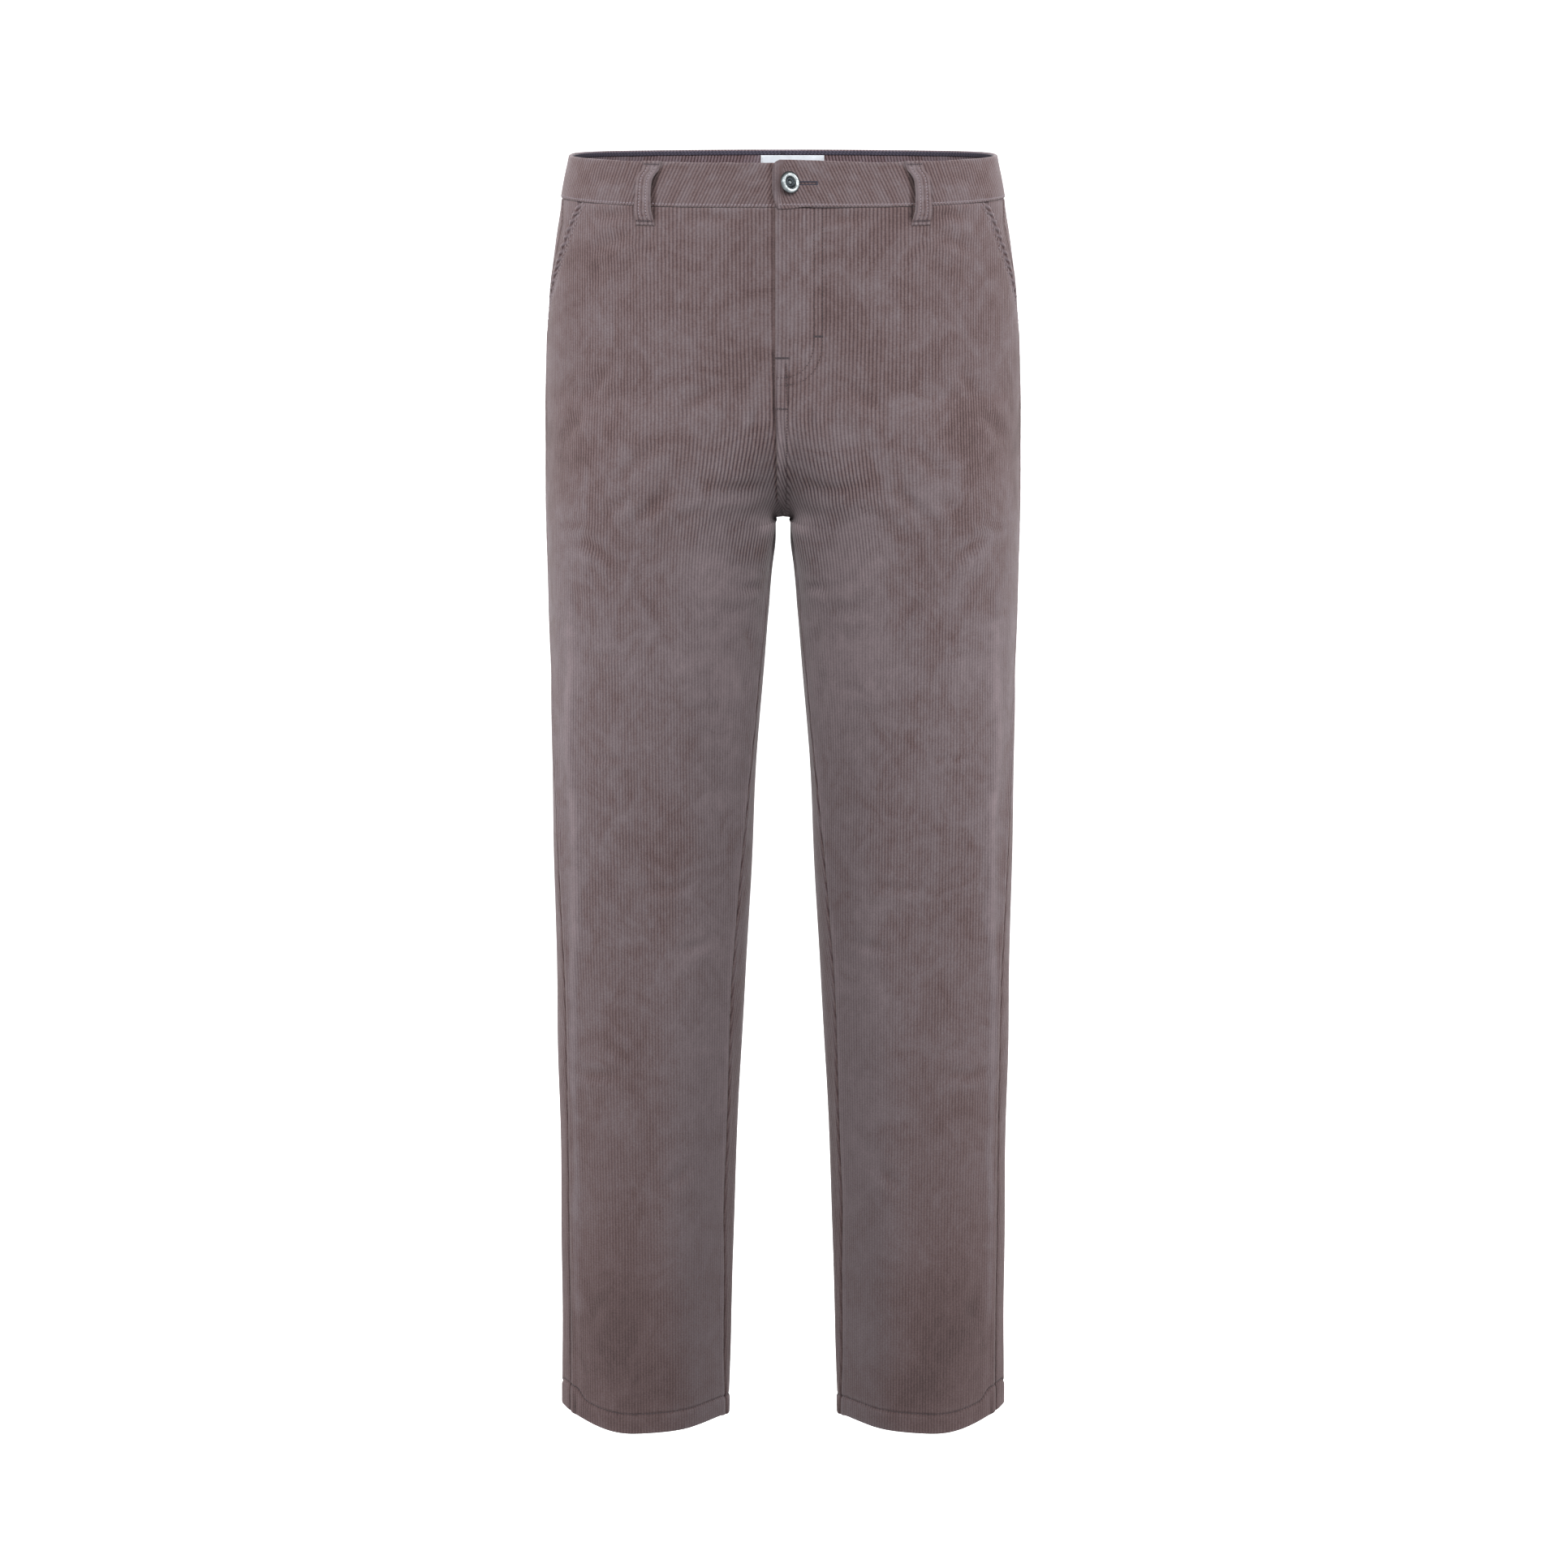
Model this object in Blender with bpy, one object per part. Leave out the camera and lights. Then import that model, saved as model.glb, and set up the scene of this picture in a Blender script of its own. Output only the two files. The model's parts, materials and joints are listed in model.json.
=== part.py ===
"""Corduroy chinos, held round and hollow as if worn, built as the pieces a maker would cut and sew.

One surface, the skin, gives the outside of the cloth on the left half of the trousers.
A point of it is named by its height and by its share of the way round:
share 0 is the centre front (lower down, the inside leg seam), share 1 is the side seam,
share 2 is the centre back (lower down, the inside leg seam again).
The right half is the same surface mirrored in x.
Every piece of cloth is a patch of the skin with a wall built on it.
Metres, z up, the front of the trousers faces -y, the origin is the middle of the waist opening.
"""

import bpy
import numpy as np

for old_object in list(bpy.data.objects):
    bpy.data.objects.remove(old_object, do_unlink=True)

# ---------------------------------------------------------------- driving sizes
MM = 0.001
CLOTH = 1.5 * MM              # corduroy wall
SEAM = 0.3 * MM               # gap left between two pieces that are sewn together
FOLDED_HEM = 3.1 * MM         # wall where the hem is turned up inside
HEM_TURN = 20.0 * MM          # height of the turned-up hem
BAND_HEIGHT = 36.0 * MM       # height of the waistband
BAND_OUT = 0.6 * MM           # the band stands this far proud of the panels
BAND_IN = 2.4 * MM            # and reaches this far inside the skin
WAIST_SEAM = -17.5 * MM       # height of the waist seam at the side
WAIST_TILT = 0.043            # the back of the waist sits higher than the front
HEM_HEIGHT = -1100.3 * MM     # hem height in the middle of a leg
HEM_TILT = 0.0625             # the hem is square to the slanting leg
LEG_MIDDLE = 125.0 * MM       # x of the middle of the leg at the hem
CROTCH = -289.5 * MM          # height of the crotch point
CROTCH_ROUND = 8.0 * MM       # rounding of the hollow between the thighs
CLEFT_REACH = 45.0 * MM       # how far round the leg the cleft between the thighs is felt
CROTCH_REACH = 50.0 * MM      # how far that rounding is felt
FRONT_RISE_TOP = -180.0 * MM  # where the front rise starts to curve under
BACK_RISE_TOP = -150.0 * MM   # where the back rise starts to curve under
SQUARE = 2.35                 # 2 would be a plain ellipse, more is squarer

FLY_LAP = 6.5 * MM            # the left front passes the centre by this much
FLY_UNDER = 2.5 * MM          # the right front runs under the left by this much
FLY_LIFT = CLOTH + 0.45 * MM  # so the left front is lifted over it
LAP_END = -248.0 * MM         # the lap has run out here
BAND_LAP = 9.0 * MM           # the left end of the band passes the centre by this much
BAND_UNDER = 25.0 * MM        # the right end of the band runs under it
BAND_LIFT = BAND_IN + BAND_OUT + SEAM

LOOP_WIDTH = 13.0 * MM
LOOP_WALL = 1.8 * MM
BUTTON_X = 6.0 * MM
BUTTON_HEIGHT = 16.5 * MM     # above the waist seam
BUTTONHOLE_END = 31.0 * MM    # x of the far end of the slit
BUTTONHOLE_SLIT = 1.4 * MM
BUTTONHOLE_EYE = 2.7 * MM     # radius of the keyhole eye

# height, greatest x, front y and back y of the sections, in mm
SECTIONS = {
    "height": (30, 18.5, -7, -31, -55, -103, -152, -200, -250, -290, -334, -377, -420, -463, -550, -637,
               -726, -815, -906, -997, -1125),
    "side": (179.5, 181, 186, 190, 194.4, 200.5, 203.9, 205.2, 205.7, 205.7, 205.3, 204.4, 203.5, 203.2,
             202.9, 201.7, 200.6, 200.1, 199, 200, 201.3),
    "front": (-103.5, -104, -107.5, -111, -113.5, -117, -119, -119.2, -118.2, -116, -112.5, -109, -105.5,
              -101, -91, -81, -73.5, -68, -64.5, -62, -60),
    "back": (101, 102, 108.5, 116, 124, 138, 147, 148, 141, 129, 113, 102, 95.5, 89.5, 79, 70.5, 67,
             65.5, 64.5, 63.5, 62.5),
}
# least x of the oval of one leg, and how much further the cleft between the thighs pushes in, in mm
INSIDE_LEG = {
    "height": (30, -289.5, -290.2, -291.5, -293.5, -297, -306, -334, -377, -420, -506, -637, -726, -906,
               -1125),
    "inside": (0, 0, 0.02, 0.07, 0.15, 0.45, 1.6, 6.8, 12.8, 17.3, 23.5, 30.2, 35.4, 44.5, 49.8),
    "cleft": (0, 0, 2.6, 4.8, 6.4, 7.3, 7.1, 3.8, 1.3, 0.4, 0, 0, 0, 0, 0),
}
# how far the side seam and the inside seam sit forward of the widest points, in degrees
SEAM_TURNS = {
    "height": (30, -20, -120, -300, -500, -900, -1125),
    "outside": (4, 4, 7, 14, 20, 25, 29),
    "inner": (0, 0, 0, 1, 21, 25, 25),
}
# slant pocket mouth: how far forward of the side seam the edge lies, in mm
POCKET_MOUTH = {
    "height": (30, -21, -34, -54, -71, -89, -105, -121, -140),
    "forward": (44, 40, 28, 20, 13.5, 6.5, 2.5, 0, 0),
}
# the overlapping end of the band: height above the waist seam and the part of the lap there
BAND_END = {
    "above": (0, 7, 14, 27, 31, 34, 36),
    "lap": (0.55, 0.85, 1.0, 1.0, 0.94, 0.75, 0.35),
}
# a belt loop: height above the waist seam, shift away from the side, standing off the cloth
LOOP_SHAPE = {
    "above": (36.3, 33.0, 28.0, 20.0, 10.0, 1.0, -6.0, -12.0, -15.5, -19.0),
    "shift": (5.5, 4.5, 2.0, -0.6, -1.6, -1.4, -0.8, -0.2, 0.4, 0.8),
    "off": (0.3, 0.4, 1.0, 1.9, 2.3, 2.3, 2.0, 1.3, 0.6, 0.35),
}
# button turned about its shank: radius and height above the cloth, in mm
BUTTON_SHAPE = {
    "radius": (0, 2.2, 2.2, 6.8, 9.0, 9.8, 9.4, 8.2, 6.6, 5.4, 4.6, 2.6, 1.5, 0),
    "height": (-3.0, -3.0, 1.0, 1.0, 1.7, 3.0, 4.3, 5.0, 5.1, 4.6, 2.9, 2.7, 3.9, 4.3),
}


def smooth_step(value):
    """0 below 0, 1 above 1, 3v^2 - 2v^3 between."""
    value = np.clip(value, 0.0, 1.0)
    return value * value * (3.0 - 2.0 * value)


def along(table, name, height, first="height"):
    """A named column of a table at any height: straight to the table's slopes, eased by a cubic."""
    knots = np.array(table[first], dtype=float) * MM
    values = np.array(table[name], dtype=float)
    if knots[0] > knots[-1]:
        knots = knots[::-1]
        values = values[::-1]
    steps = np.diff(knots)
    rates = np.diff(values) / steps
    slopes = np.zeros(len(knots))
    slopes[0] = rates[0]
    slopes[-1] = rates[-1]
    same_way = rates[:-1] * rates[1:] > 0
    weight_a = 2 * steps[1:] + steps[:-1]
    weight_b = steps[1:] + 2 * steps[:-1]
    safe_a = np.where(same_way, rates[:-1], 1.0)
    safe_b = np.where(same_way, rates[1:], 1.0)
    mean = (weight_a + weight_b) / (weight_a / safe_a + weight_b / safe_b)
    slopes[1:-1] = np.where(same_way, mean, 0.0)
    height = np.clip(np.asarray(height, dtype=float), knots[0], knots[-1])
    index = np.clip(np.searchsorted(knots, height) - 1, 0, len(steps) - 1)
    part = (height - knots[index]) / steps[index]
    gap = steps[index]
    low = values[index]
    high = values[index + 1]
    return (low * (1 + 2 * part) * (1 - part) ** 2 + slopes[index] * gap * part * (1 - part) ** 2
            + high * part ** 2 * (3 - 2 * part) + slopes[index + 1] * gap * part ** 2 * (part - 1))


def rise_part(height, top):
    """1 above the start of a rise curve, falling as (1 - s^2)^0.6 to 0 at the crotch."""
    drop = np.clip((top - height) / (top - CROTCH), 0.0, 1.0)
    return (1.0 - drop ** 2) ** 0.6


def oval(angle, inner, outer, middle_y, depth):
    """x = mx + hx cos|cos|^(2/n - 1), y = my + depth sin|sin|^(2/n - 1), from x = inner to x = outer."""
    power = 2.0 / SQUARE
    cosine = np.cos(angle)
    sine = np.sin(angle)
    x = (outer + inner) / 2 + (outer - inner) / 2 * np.sign(cosine) * np.abs(cosine) ** power
    y = middle_y + depth * np.sign(sine) * np.abs(sine) ** power
    return x, y


def eased_to_centre(x, opened):
    """Near x = 0 the spacing goes as a root, so the two halves meet in a rounded hollow."""
    x = np.maximum(x, 0.0)
    rounding = 4 * CROTCH_ROUND * opened * (1 - opened)
    return x + (np.sqrt(x * x + 2 * rounding * x) - x) * np.exp(-x / CROTCH_REACH)


def reach_of_rise(opened, outer):
    """How far past the centre an oval reaches so that x = 0 cuts it at this part of its depth.

    Also the angle short of the full half turn at which the cut lies.
    """
    quotient = (1.0 - opened ** SQUARE) ** (1 / SQUARE)
    return outer * (1 - quotient) / (1 + quotient), np.arccos(quotient ** (SQUARE / 2))


def cross_section(height, shares):
    """One level outline: an oval that reaches past the centre above the crotch and stops short below."""
    outer = along(SECTIONS, "side", height) * MM
    front = along(SECTIONS, "front", height) * MM
    back = along(SECTIONS, "back", height) * MM
    middle = (front + back) / 2
    depth = (back - front) / 2
    side = 2 * np.pi - np.radians(along(SEAM_TURNS, "outside", height))
    if height <= CROTCH:
        start = np.pi + np.radians(along(SEAM_TURNS, "inner", height))
        angle = np.where(shares < 1, start + (side - start) * shares,
                         side + (start + 2 * np.pi - side) * (shares - 1))
        x, y = oval(angle, along(INSIDE_LEG, "inside", height) * MM, outer, middle, depth)
        walked = np.concatenate(([0.0], np.cumsum(np.hypot(np.diff(x), np.diff(y)))))
        from_seam = np.minimum(walked, walked[-1] - walked)
        x = x + along(INSIDE_LEG, "cleft", height) * MM * np.exp(-(from_seam / CLEFT_REACH) ** 2)
        return x, y
    front_open = rise_part(height, FRONT_RISE_TOP)
    back_open = rise_part(height, BACK_RISE_TOP)
    front_reach, front_cut = reach_of_rise(front_open, outer)
    back_reach, back_cut = reach_of_rise(back_open, outer)
    start = np.pi + front_cut
    finish = 3 * np.pi - back_cut
    angle = np.where(shares < 1, start + (side - start) * shares, side + (finish - side) * (shares - 1))
    front_x, front_y = oval(angle, -front_reach, outer, middle, depth)
    back_x, back_y = oval(angle, -back_reach, outer, middle, depth)
    in_front = angle < 2 * np.pi
    x = np.where(in_front, eased_to_centre(front_x, front_open), eased_to_centre(back_x, back_open))
    y = np.where(in_front, front_y, back_y)
    x[0] = 0.0
    x[-1] = 0.0
    return x, y


LEVELS = np.concatenate((np.linspace(-1.135, -0.32, 150), np.linspace(-0.318, -0.2955, 14),
                         np.linspace(-0.2945, CROTCH, 18), np.linspace(CROTCH + 1e-6, -0.17, 110),
                         np.linspace(-0.168, 0.04, 60)))
STEPS = 64
SKIN = np.zeros((len(LEVELS), 2 * STEPS + 1, 2))
FRONT_LENGTH = np.zeros(len(LEVELS))
BACK_LENGTH = np.zeros(len(LEVELS))


def fill_skin():
    """Tabulate the sections with equal steps of length along the front and along the back."""
    fine = np.linspace(0.0, 2.0, 961)
    even = np.linspace(0.0, 1.0, STEPS + 1)
    for row, height in enumerate(LEVELS):
        x, y = cross_section(height, fine)
        length = np.concatenate(([0.0], np.cumsum(np.hypot(np.diff(x), np.diff(y)))))
        side_length = length[480]
        total = length[-1]
        targets = np.concatenate((even * side_length, side_length + even[1:] * (total - side_length)))
        SKIN[row, :, 0] = np.interp(targets, length, x)
        SKIN[row, :, 1] = np.interp(targets, length, y)
        FRONT_LENGTH[row] = side_length
        BACK_LENGTH[row] = total - side_length


fill_skin()


def front_length(height):
    """Length round the front of one half at a height."""
    return np.interp(height, LEVELS, FRONT_LENGTH)


def back_length(height):
    """Length round the back of one half at a height."""
    return np.interp(height, LEVELS, BACK_LENGTH)


def level_point(height, share):
    """A point of the skin before the waist and hem are tilted; past the ends it mirrors or wraps."""
    above = height > CROTCH
    mirrored = above & ((share < 0) | (share > 2))
    folded = np.where(share < 0, -share, np.where(share > 2, 4 - share, share))
    wrapped = np.where(share < 0, 2 + share, np.where(share > 2, share - 2, share))
    place = np.where(above, folded, wrapped) * STEPS
    row = np.interp(height, LEVELS, np.arange(len(LEVELS)))
    row_low = np.clip(row.astype(int), 0, len(LEVELS) - 2)
    column_low = np.clip(place.astype(int), 0, 2 * STEPS - 1)
    row_part = (row - row_low)[..., None]
    column_part = (place - column_low)[..., None]
    low = SKIN[row_low, column_low] * (1 - column_part) + SKIN[row_low, column_low + 1] * column_part
    high = SKIN[row_low + 1, column_low] * (1 - column_part) + SKIN[row_low + 1, column_low + 1] * column_part
    flat = low * (1 - row_part) + high * row_part
    x = np.where(mirrored, -flat[..., 0], flat[..., 0])
    return x, flat[..., 1]


def bare_point(height, share):
    """Skin point with the waist tipped up at the back and the hem square to the leg."""
    x, y = level_point(height, share)
    waist = WAIST_TILT * y * smooth_step((height + 0.15) / 0.13)
    hem = HEM_TILT * (x - LEG_MIDDLE) * smooth_step((-0.9 - height) / 0.19)
    return np.stack((x, y, height + waist + hem), axis=-1)


def skin(height, share, out=0.0):
    """Points of the left half moved out along the skin by the given distance."""
    height, share, out = np.broadcast_arrays(np.asarray(height, float), np.asarray(share, float),
                                             np.asarray(out, float))
    point = bare_point(height, share)
    round_step = 0.008
    down_step = 1.2 * MM
    along_round = bare_point(height, share + round_step) - bare_point(height, share - round_step)
    along_up = bare_point(height + down_step, share) - bare_point(height - down_step, share)
    outward = np.cross(along_round, along_up)
    outward /= np.linalg.norm(outward, axis=-1, keepdims=True)
    return point + outward * out[..., None]


def share_at_x(height, x):
    """Share of the front where the level section passes a given x."""
    shares = np.linspace(0.0, 1.0, 161)
    points = bare_point(np.full(161, height), shares)
    return float(np.interp(x, points[:, 0], shares))


# ---------------------------------------------------------------- making solids
def cloth_material(name, colour, rough, metal=0.0):
    """A plain Principled material."""
    material = bpy.data.materials.new(name)
    material.use_nodes = True
    shader = material.node_tree.nodes["Principled BSDF"]
    shader.inputs["Base Color"].default_value = (*colour, 1.0)
    shader.inputs["Roughness"].default_value = rough
    shader.inputs["Metallic"].default_value = metal
    return material


CORDUROY = (0.169, 0.128, 0.133)


def solid(name, points, faces, colour=CORDUROY, rough=0.9, metal=0.0):
    """One named object with a material of its own."""
    mesh = bpy.data.meshes.new(name)
    mesh.from_pydata([tuple(point) for point in points], [], faces)
    mesh.validate()
    thing = bpy.data.objects.new(name, mesh)
    bpy.context.scene.collection.objects.link(thing)
    mesh.materials.append(cloth_material(name + "_material", colour, rough, metal))
    return thing


def cloth_piece(name, outer, inner, mirror=False, **finish):
    """A wall between two grids of points, outer and inner, closed round its four edges."""
    rows, columns = outer.shape[:2]
    points = np.concatenate((outer.reshape(-1, 3), inner.reshape(-1, 3)))
    if mirror:
        points = points * np.array((-1.0, 1.0, 1.0))
    count = rows * columns
    faces = []
    for row in range(rows - 1):
        for column in range(columns - 1):
            a = row * columns + column
            b = a + 1
            c = a + columns + 1
            d = a + columns
            for corner in ((a, b, c), (a, c, d)):
                faces.append(corner)
                faces.append(tuple(point + count for point in reversed(corner)))
    border = [(0, column) for column in range(columns)]
    border += [(row, columns - 1) for row in range(1, rows)]
    border += [(rows - 1, column) for column in range(columns - 2, -1, -1)]
    border += [(row, 0) for row in range(rows - 2, 0, -1)]
    ring = [row * columns + column for row, column in border]
    for here, after in zip(ring, ring[1:] + ring[:1]):
        faces.append((after, here, here + count))
        faces.append((after, here + count, after + count))
    if mirror:
        faces = [face[::-1] for face in faces]
    return solid(name, points, faces, **finish)


def flipped(grid):
    """Reverse the rows, so that a grid listed downwards has its faces outwards."""
    return grid[::-1]


# ---------------------------------------------------------------- the leg panels
PANEL_TOP = WAIST_SEAM - SEAM
PANEL_HEIGHTS = np.array((-40, -58, -76, -96, -118, -145, -172, -196, -216, -233, -248, -262, -273, -281,
                          -286, -289, -290.6, -293.5, -300, -314, -336, -370, -420, -490, -570, -650, -730,
                          -820, -910, -1000)) * MM
PANEL_ROWS = np.concatenate(([PANEL_TOP], PANEL_HEIGHTS,
                             [HEM_HEIGHT + HEM_TURN + 1.5 * MM, HEM_HEIGHT + HEM_TURN, HEM_HEIGHT]))
FRONT_SPREAD = np.array((0.0, 0.10, 0.22, 0.36, 0.50, 0.64, 0.78, 0.90, 1.0))
BACK_SPREAD = np.linspace(0.0, 1.0, 14)


def wall_inside(heights):
    """Depth of the inner face: one cloth, two at the turned-up hem."""
    return np.where(heights <= HEM_HEIGHT + HEM_TURN + 0.1 * MM, FOLDED_HEM, CLOTH)


def lap_left(heights):
    """How much of the fly lap is left at a height: all of it down to near the crotch."""
    return smooth_step((heights - LAP_END) / (15 * MM))


def fly_lift(heights, distance):
    """The left front is lifted over the right one near the centre."""
    down = smooth_step((heights + 270 * MM) / (20 * MM))
    across = 1 - smooth_step((distance - 9 * MM) / (26 * MM))
    return FLY_LIFT * down * across


def front_grid(reach, lifted):
    """Heights, shares and outward lift of a front panel whose inner edge passes the centre by reach."""
    heights = PANEL_ROWS[:, None]
    length = front_length(PANEL_ROWS)[:, None]
    lap = lap_left(heights) * (reach + SEAM / 2) - SEAM / 2
    mouth = along(POCKET_MOUTH, "forward", PANEL_ROWS)[:, None] * MM
    outer_edge = length - mouth - SEAM / 2
    narrow = smooth_step((heights - LAP_END) / (40 * MM))
    starts = [-lap, 1 * MM + 1 * MM * narrow, 9 * MM + 0 * lap, 21 * MM + 0 * lap, 35 * MM + 0 * lap]
    rest = 35 * MM + (outer_edge - 35 * MM) * FRONT_SPREAD[1:]
    distance = np.concatenate(starts + [rest], axis=1)
    shares = distance / length
    lift = fly_lift(heights, distance) if lifted else 0 * distance
    return np.broadcast_to(heights, shares.shape), shares, lift


def front_panel(name, reach, lifted, mirror):
    """A front leg panel: its outer face is the skin, lifted at the fly."""
    heights, shares, lift = front_grid(reach, lifted)
    outer = skin(heights, shares, lift)
    inner = skin(heights, shares, lift - wall_inside(heights))
    for face in (outer, inner):
        joined = (heights <= LAP_END) & (heights > CROTCH)
        face[..., 0] = np.where(joined, np.maximum(face[..., 0], SEAM / 2), face[..., 0])
    cloth_piece(name, flipped(outer), flipped(inner), mirror)


def back_panel(name, mirror):
    """A back leg panel, from the side seam round to the centre back and the inside leg seam."""
    heights = PANEL_ROWS[:, None]
    length = back_length(PANEL_ROWS)[:, None]
    near = SEAM / 2 / length
    shares = 1 + near + (1 - 2 * near) * BACK_SPREAD[None, :]
    heights = np.broadcast_to(heights, shares.shape)
    outer = skin(heights, shares)
    inner = skin(heights, shares, -wall_inside(heights))
    cloth_piece(name, flipped(outer), flipped(inner), mirror)


front_panel("front_left", FLY_LAP, True, False)
front_panel("front_right", FLY_UNDER, False, True)
back_panel("back_left", False)
back_panel("back_right", True)

# ---------------------------------------------------------------- the waistband
BAND_ABOVE = np.array(BAND_END["above"]) * MM
BAND_ROWS = WAIST_SEAM + BAND_ABOVE


def band_half(name, reach, rounded, lifted, mirror):
    """Half of the folded waistband, from its front end round to the centre back."""
    heights = BAND_ROWS[:, None]
    length = front_length(BAND_ROWS)[:, None]
    rest = back_length(BAND_ROWS)[:, None]
    part = np.array(BAND_END["lap"])[:, None] if rounded else np.ones((len(BAND_ROWS), 1))
    near_front = [-reach * part, 0 * length + 12 * MM, 0 * length + 29 * MM, 0 * length + 45 * MM,
                  0 * length + 60 * MM, 0 * length + 76 * MM]
    front_rest = 76 * MM + (length - 76 * MM) * np.linspace(0, 1, 8)[None, 1:]
    front_shares = np.concatenate(near_front + [front_rest], axis=1) / length
    label_edge = rest - 28 * MM
    round_back = [label_edge * np.linspace(0, 1, 8)[None, 1:], rest - SEAM / 2]
    back_shares = 1 + np.concatenate(round_back, axis=1) / rest
    shares = np.concatenate((front_shares, back_shares), axis=1)
    heights = np.broadcast_to(heights, shares.shape)
    distance = np.minimum(shares, 1) * length
    lift = BAND_LIFT * (1 - smooth_step((distance - 29 * MM) / (45 * MM))) if lifted else 0 * distance
    outer = skin(heights, shares, lift + BAND_OUT)
    inner = skin(heights, shares, lift - BAND_IN)
    return cloth_piece(name, outer, inner, mirror)


band_left = band_half("waistband_left", BAND_LAP, True, True, False)
band_half("waistband_right", BAND_UNDER, False, False, True)

BUTTON_SHARE = share_at_x(WAIST_SEAM + BUTTON_HEIGHT, BUTTON_X)
BUTTON_FOOT = skin(WAIST_SEAM + BUTTON_HEIGHT, BUTTON_SHARE, BAND_LIFT + BAND_OUT)


def buttonhole_cutter():
    """A keyhole: a round eye under the button and a narrow slit running towards the side."""
    steps = np.radians(np.linspace(18, 342, 17))
    outline = [(BUTTON_X + BUTTONHOLE_EYE * np.cos(a), BUTTONHOLE_EYE * np.sin(a)) for a in steps]
    outline += [(BUTTONHOLE_END, -BUTTONHOLE_SLIT / 2), (BUTTONHOLE_END, BUTTONHOLE_SLIT / 2)]
    count = len(outline)
    points = [(x, BUTTON_FOOT[1] - 8 * MM, BUTTON_FOOT[2] + z) for x, z in outline]
    points += [(x, BUTTON_FOOT[1] + 8 * MM, BUTTON_FOOT[2] + z) for x, z in outline]
    faces = [tuple(range(count)), tuple(range(2 * count - 1, count - 1, -1))]
    for here in range(count):
        after = (here + 1) % count
        faces.append((after, here, here + count, after + count))
    cutter = solid("buttonhole_cutter", points, faces)
    cutter.hide_render = True
    cutter.display_type = "WIRE"
    return cutter


hole = band_left.modifiers.new("buttonhole", "BOOLEAN")
hole.operation = "DIFFERENCE"
hole.solver = "EXACT"
hole.object = buttonhole_cutter()


# ---------------------------------------------------------------- belt loops
def belt_loop(name, share, lean, mirror=False):
    """A flat strip, tacked at both ends, standing off the band between them."""
    heights = WAIST_SEAM + np.array(LOOP_SHAPE["above"]) * MM
    shift = np.array(LOOP_SHAPE["shift"]) * MM * lean
    off = np.array(LOOP_SHAPE["off"]) * MM + BAND_OUT * smooth_step((heights - WAIST_SEAM + 12 * MM) / (8 * MM))
    length = front_length(heights) if share < 1 else back_length(heights)
    middle = share - shift / length
    across = np.array((-0.5, -0.17, 0.17, 0.5)) * LOOP_WIDTH
    shares = middle[:, None] + across[None, :] / length[:, None]
    high = np.broadcast_to(heights[:, None], shares.shape)
    outer = skin(high, shares, (off + LOOP_WALL)[:, None])
    inner = skin(high, shares, off[:, None])
    cloth_piece(name, flipped(outer), flipped(inner), mirror)


LOOP_SHARE = share_at_x(WAIST_SEAM, 117.5 * MM)
belt_loop("belt_loop_front_left", LOOP_SHARE, 1.0)
belt_loop("belt_loop_front_right", LOOP_SHARE, 1.0, True)
belt_loop("belt_loop_back_left", 1.36, -0.5)
belt_loop("belt_loop_back_right", 1.36, -0.5, True)
belt_loop("belt_loop_back_centre", 2.0, 0.0)


# ---------------------------------------------------------------- pockets, zip and label
def patch(name, rows, shares, outside, inside, mirror=False, **finish_look):
    """A patch of the skin between two depths, at the given heights and shares."""
    high = np.broadcast_to(rows[:, None], shares.shape)
    outer = skin(high, shares, outside)
    inner = skin(high, shares, inside)
    cloth_piece(name, flipped(outer), flipped(inner), mirror, **finish_look)


FACING_WALL = 1.2 * MM
BAG_WALL = 1.0 * MM
COTTON = (0.42, 0.38, 0.34)


def pocket_shares(rows, first):
    """Shares of the front panel's own columns from a chosen one on, then over to the side seam."""
    length = front_length(rows)[:, None]
    shares = front_grid(FLY_LAP, False)[1][:len(rows), first:]
    side = 1 - SEAM / length
    edge = np.minimum(shares[:, -1:], side - 1.2 * MM / length)
    return np.concatenate((shares[:, :-1], edge, (edge + side) / 2, side), axis=1)


for side_name, mirrored in (("left", False), ("right", True)):
    rows = PANEL_ROWS[:6]
    patch("pocket_facing_" + side_name, rows, pocket_shares(rows, -3), -CLOTH - SEAM,
          -CLOTH - SEAM - FACING_WALL, mirrored)
    rows = PANEL_ROWS[:10]
    under = -CLOTH - 2 * SEAM - FACING_WALL
    patch("pocket_bag_" + side_name, rows, pocket_shares(rows, -6), under, under - BAG_WALL, mirrored,
          colour=COTTON)

ZIP_COLUMNS = np.array((-15.0, -9.0, -2.0, 8.0, 15.0)) * MM
patch("fly_zip", PANEL_ROWS[:8], ZIP_COLUMNS / front_length(PANEL_ROWS[:8])[:, None], -CLOTH - SEAM,
      -CLOTH - SEAM - 1.2 * MM, colour=(0.10, 0.085, 0.09))

LABEL_ROWS = BAND_ROWS[4:0:-1]
LABEL_COLUMNS = np.array((-28.0, 0.0, 28.0)) * MM
patch("waist_label", LABEL_ROWS, 2 + LABEL_COLUMNS / back_length(LABEL_ROWS)[:, None], -BAND_IN - SEAM,
      -BAND_IN - SEAM - 0.8 * MM, colour=(0.75, 0.78, 0.82), rough=0.6)


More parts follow.
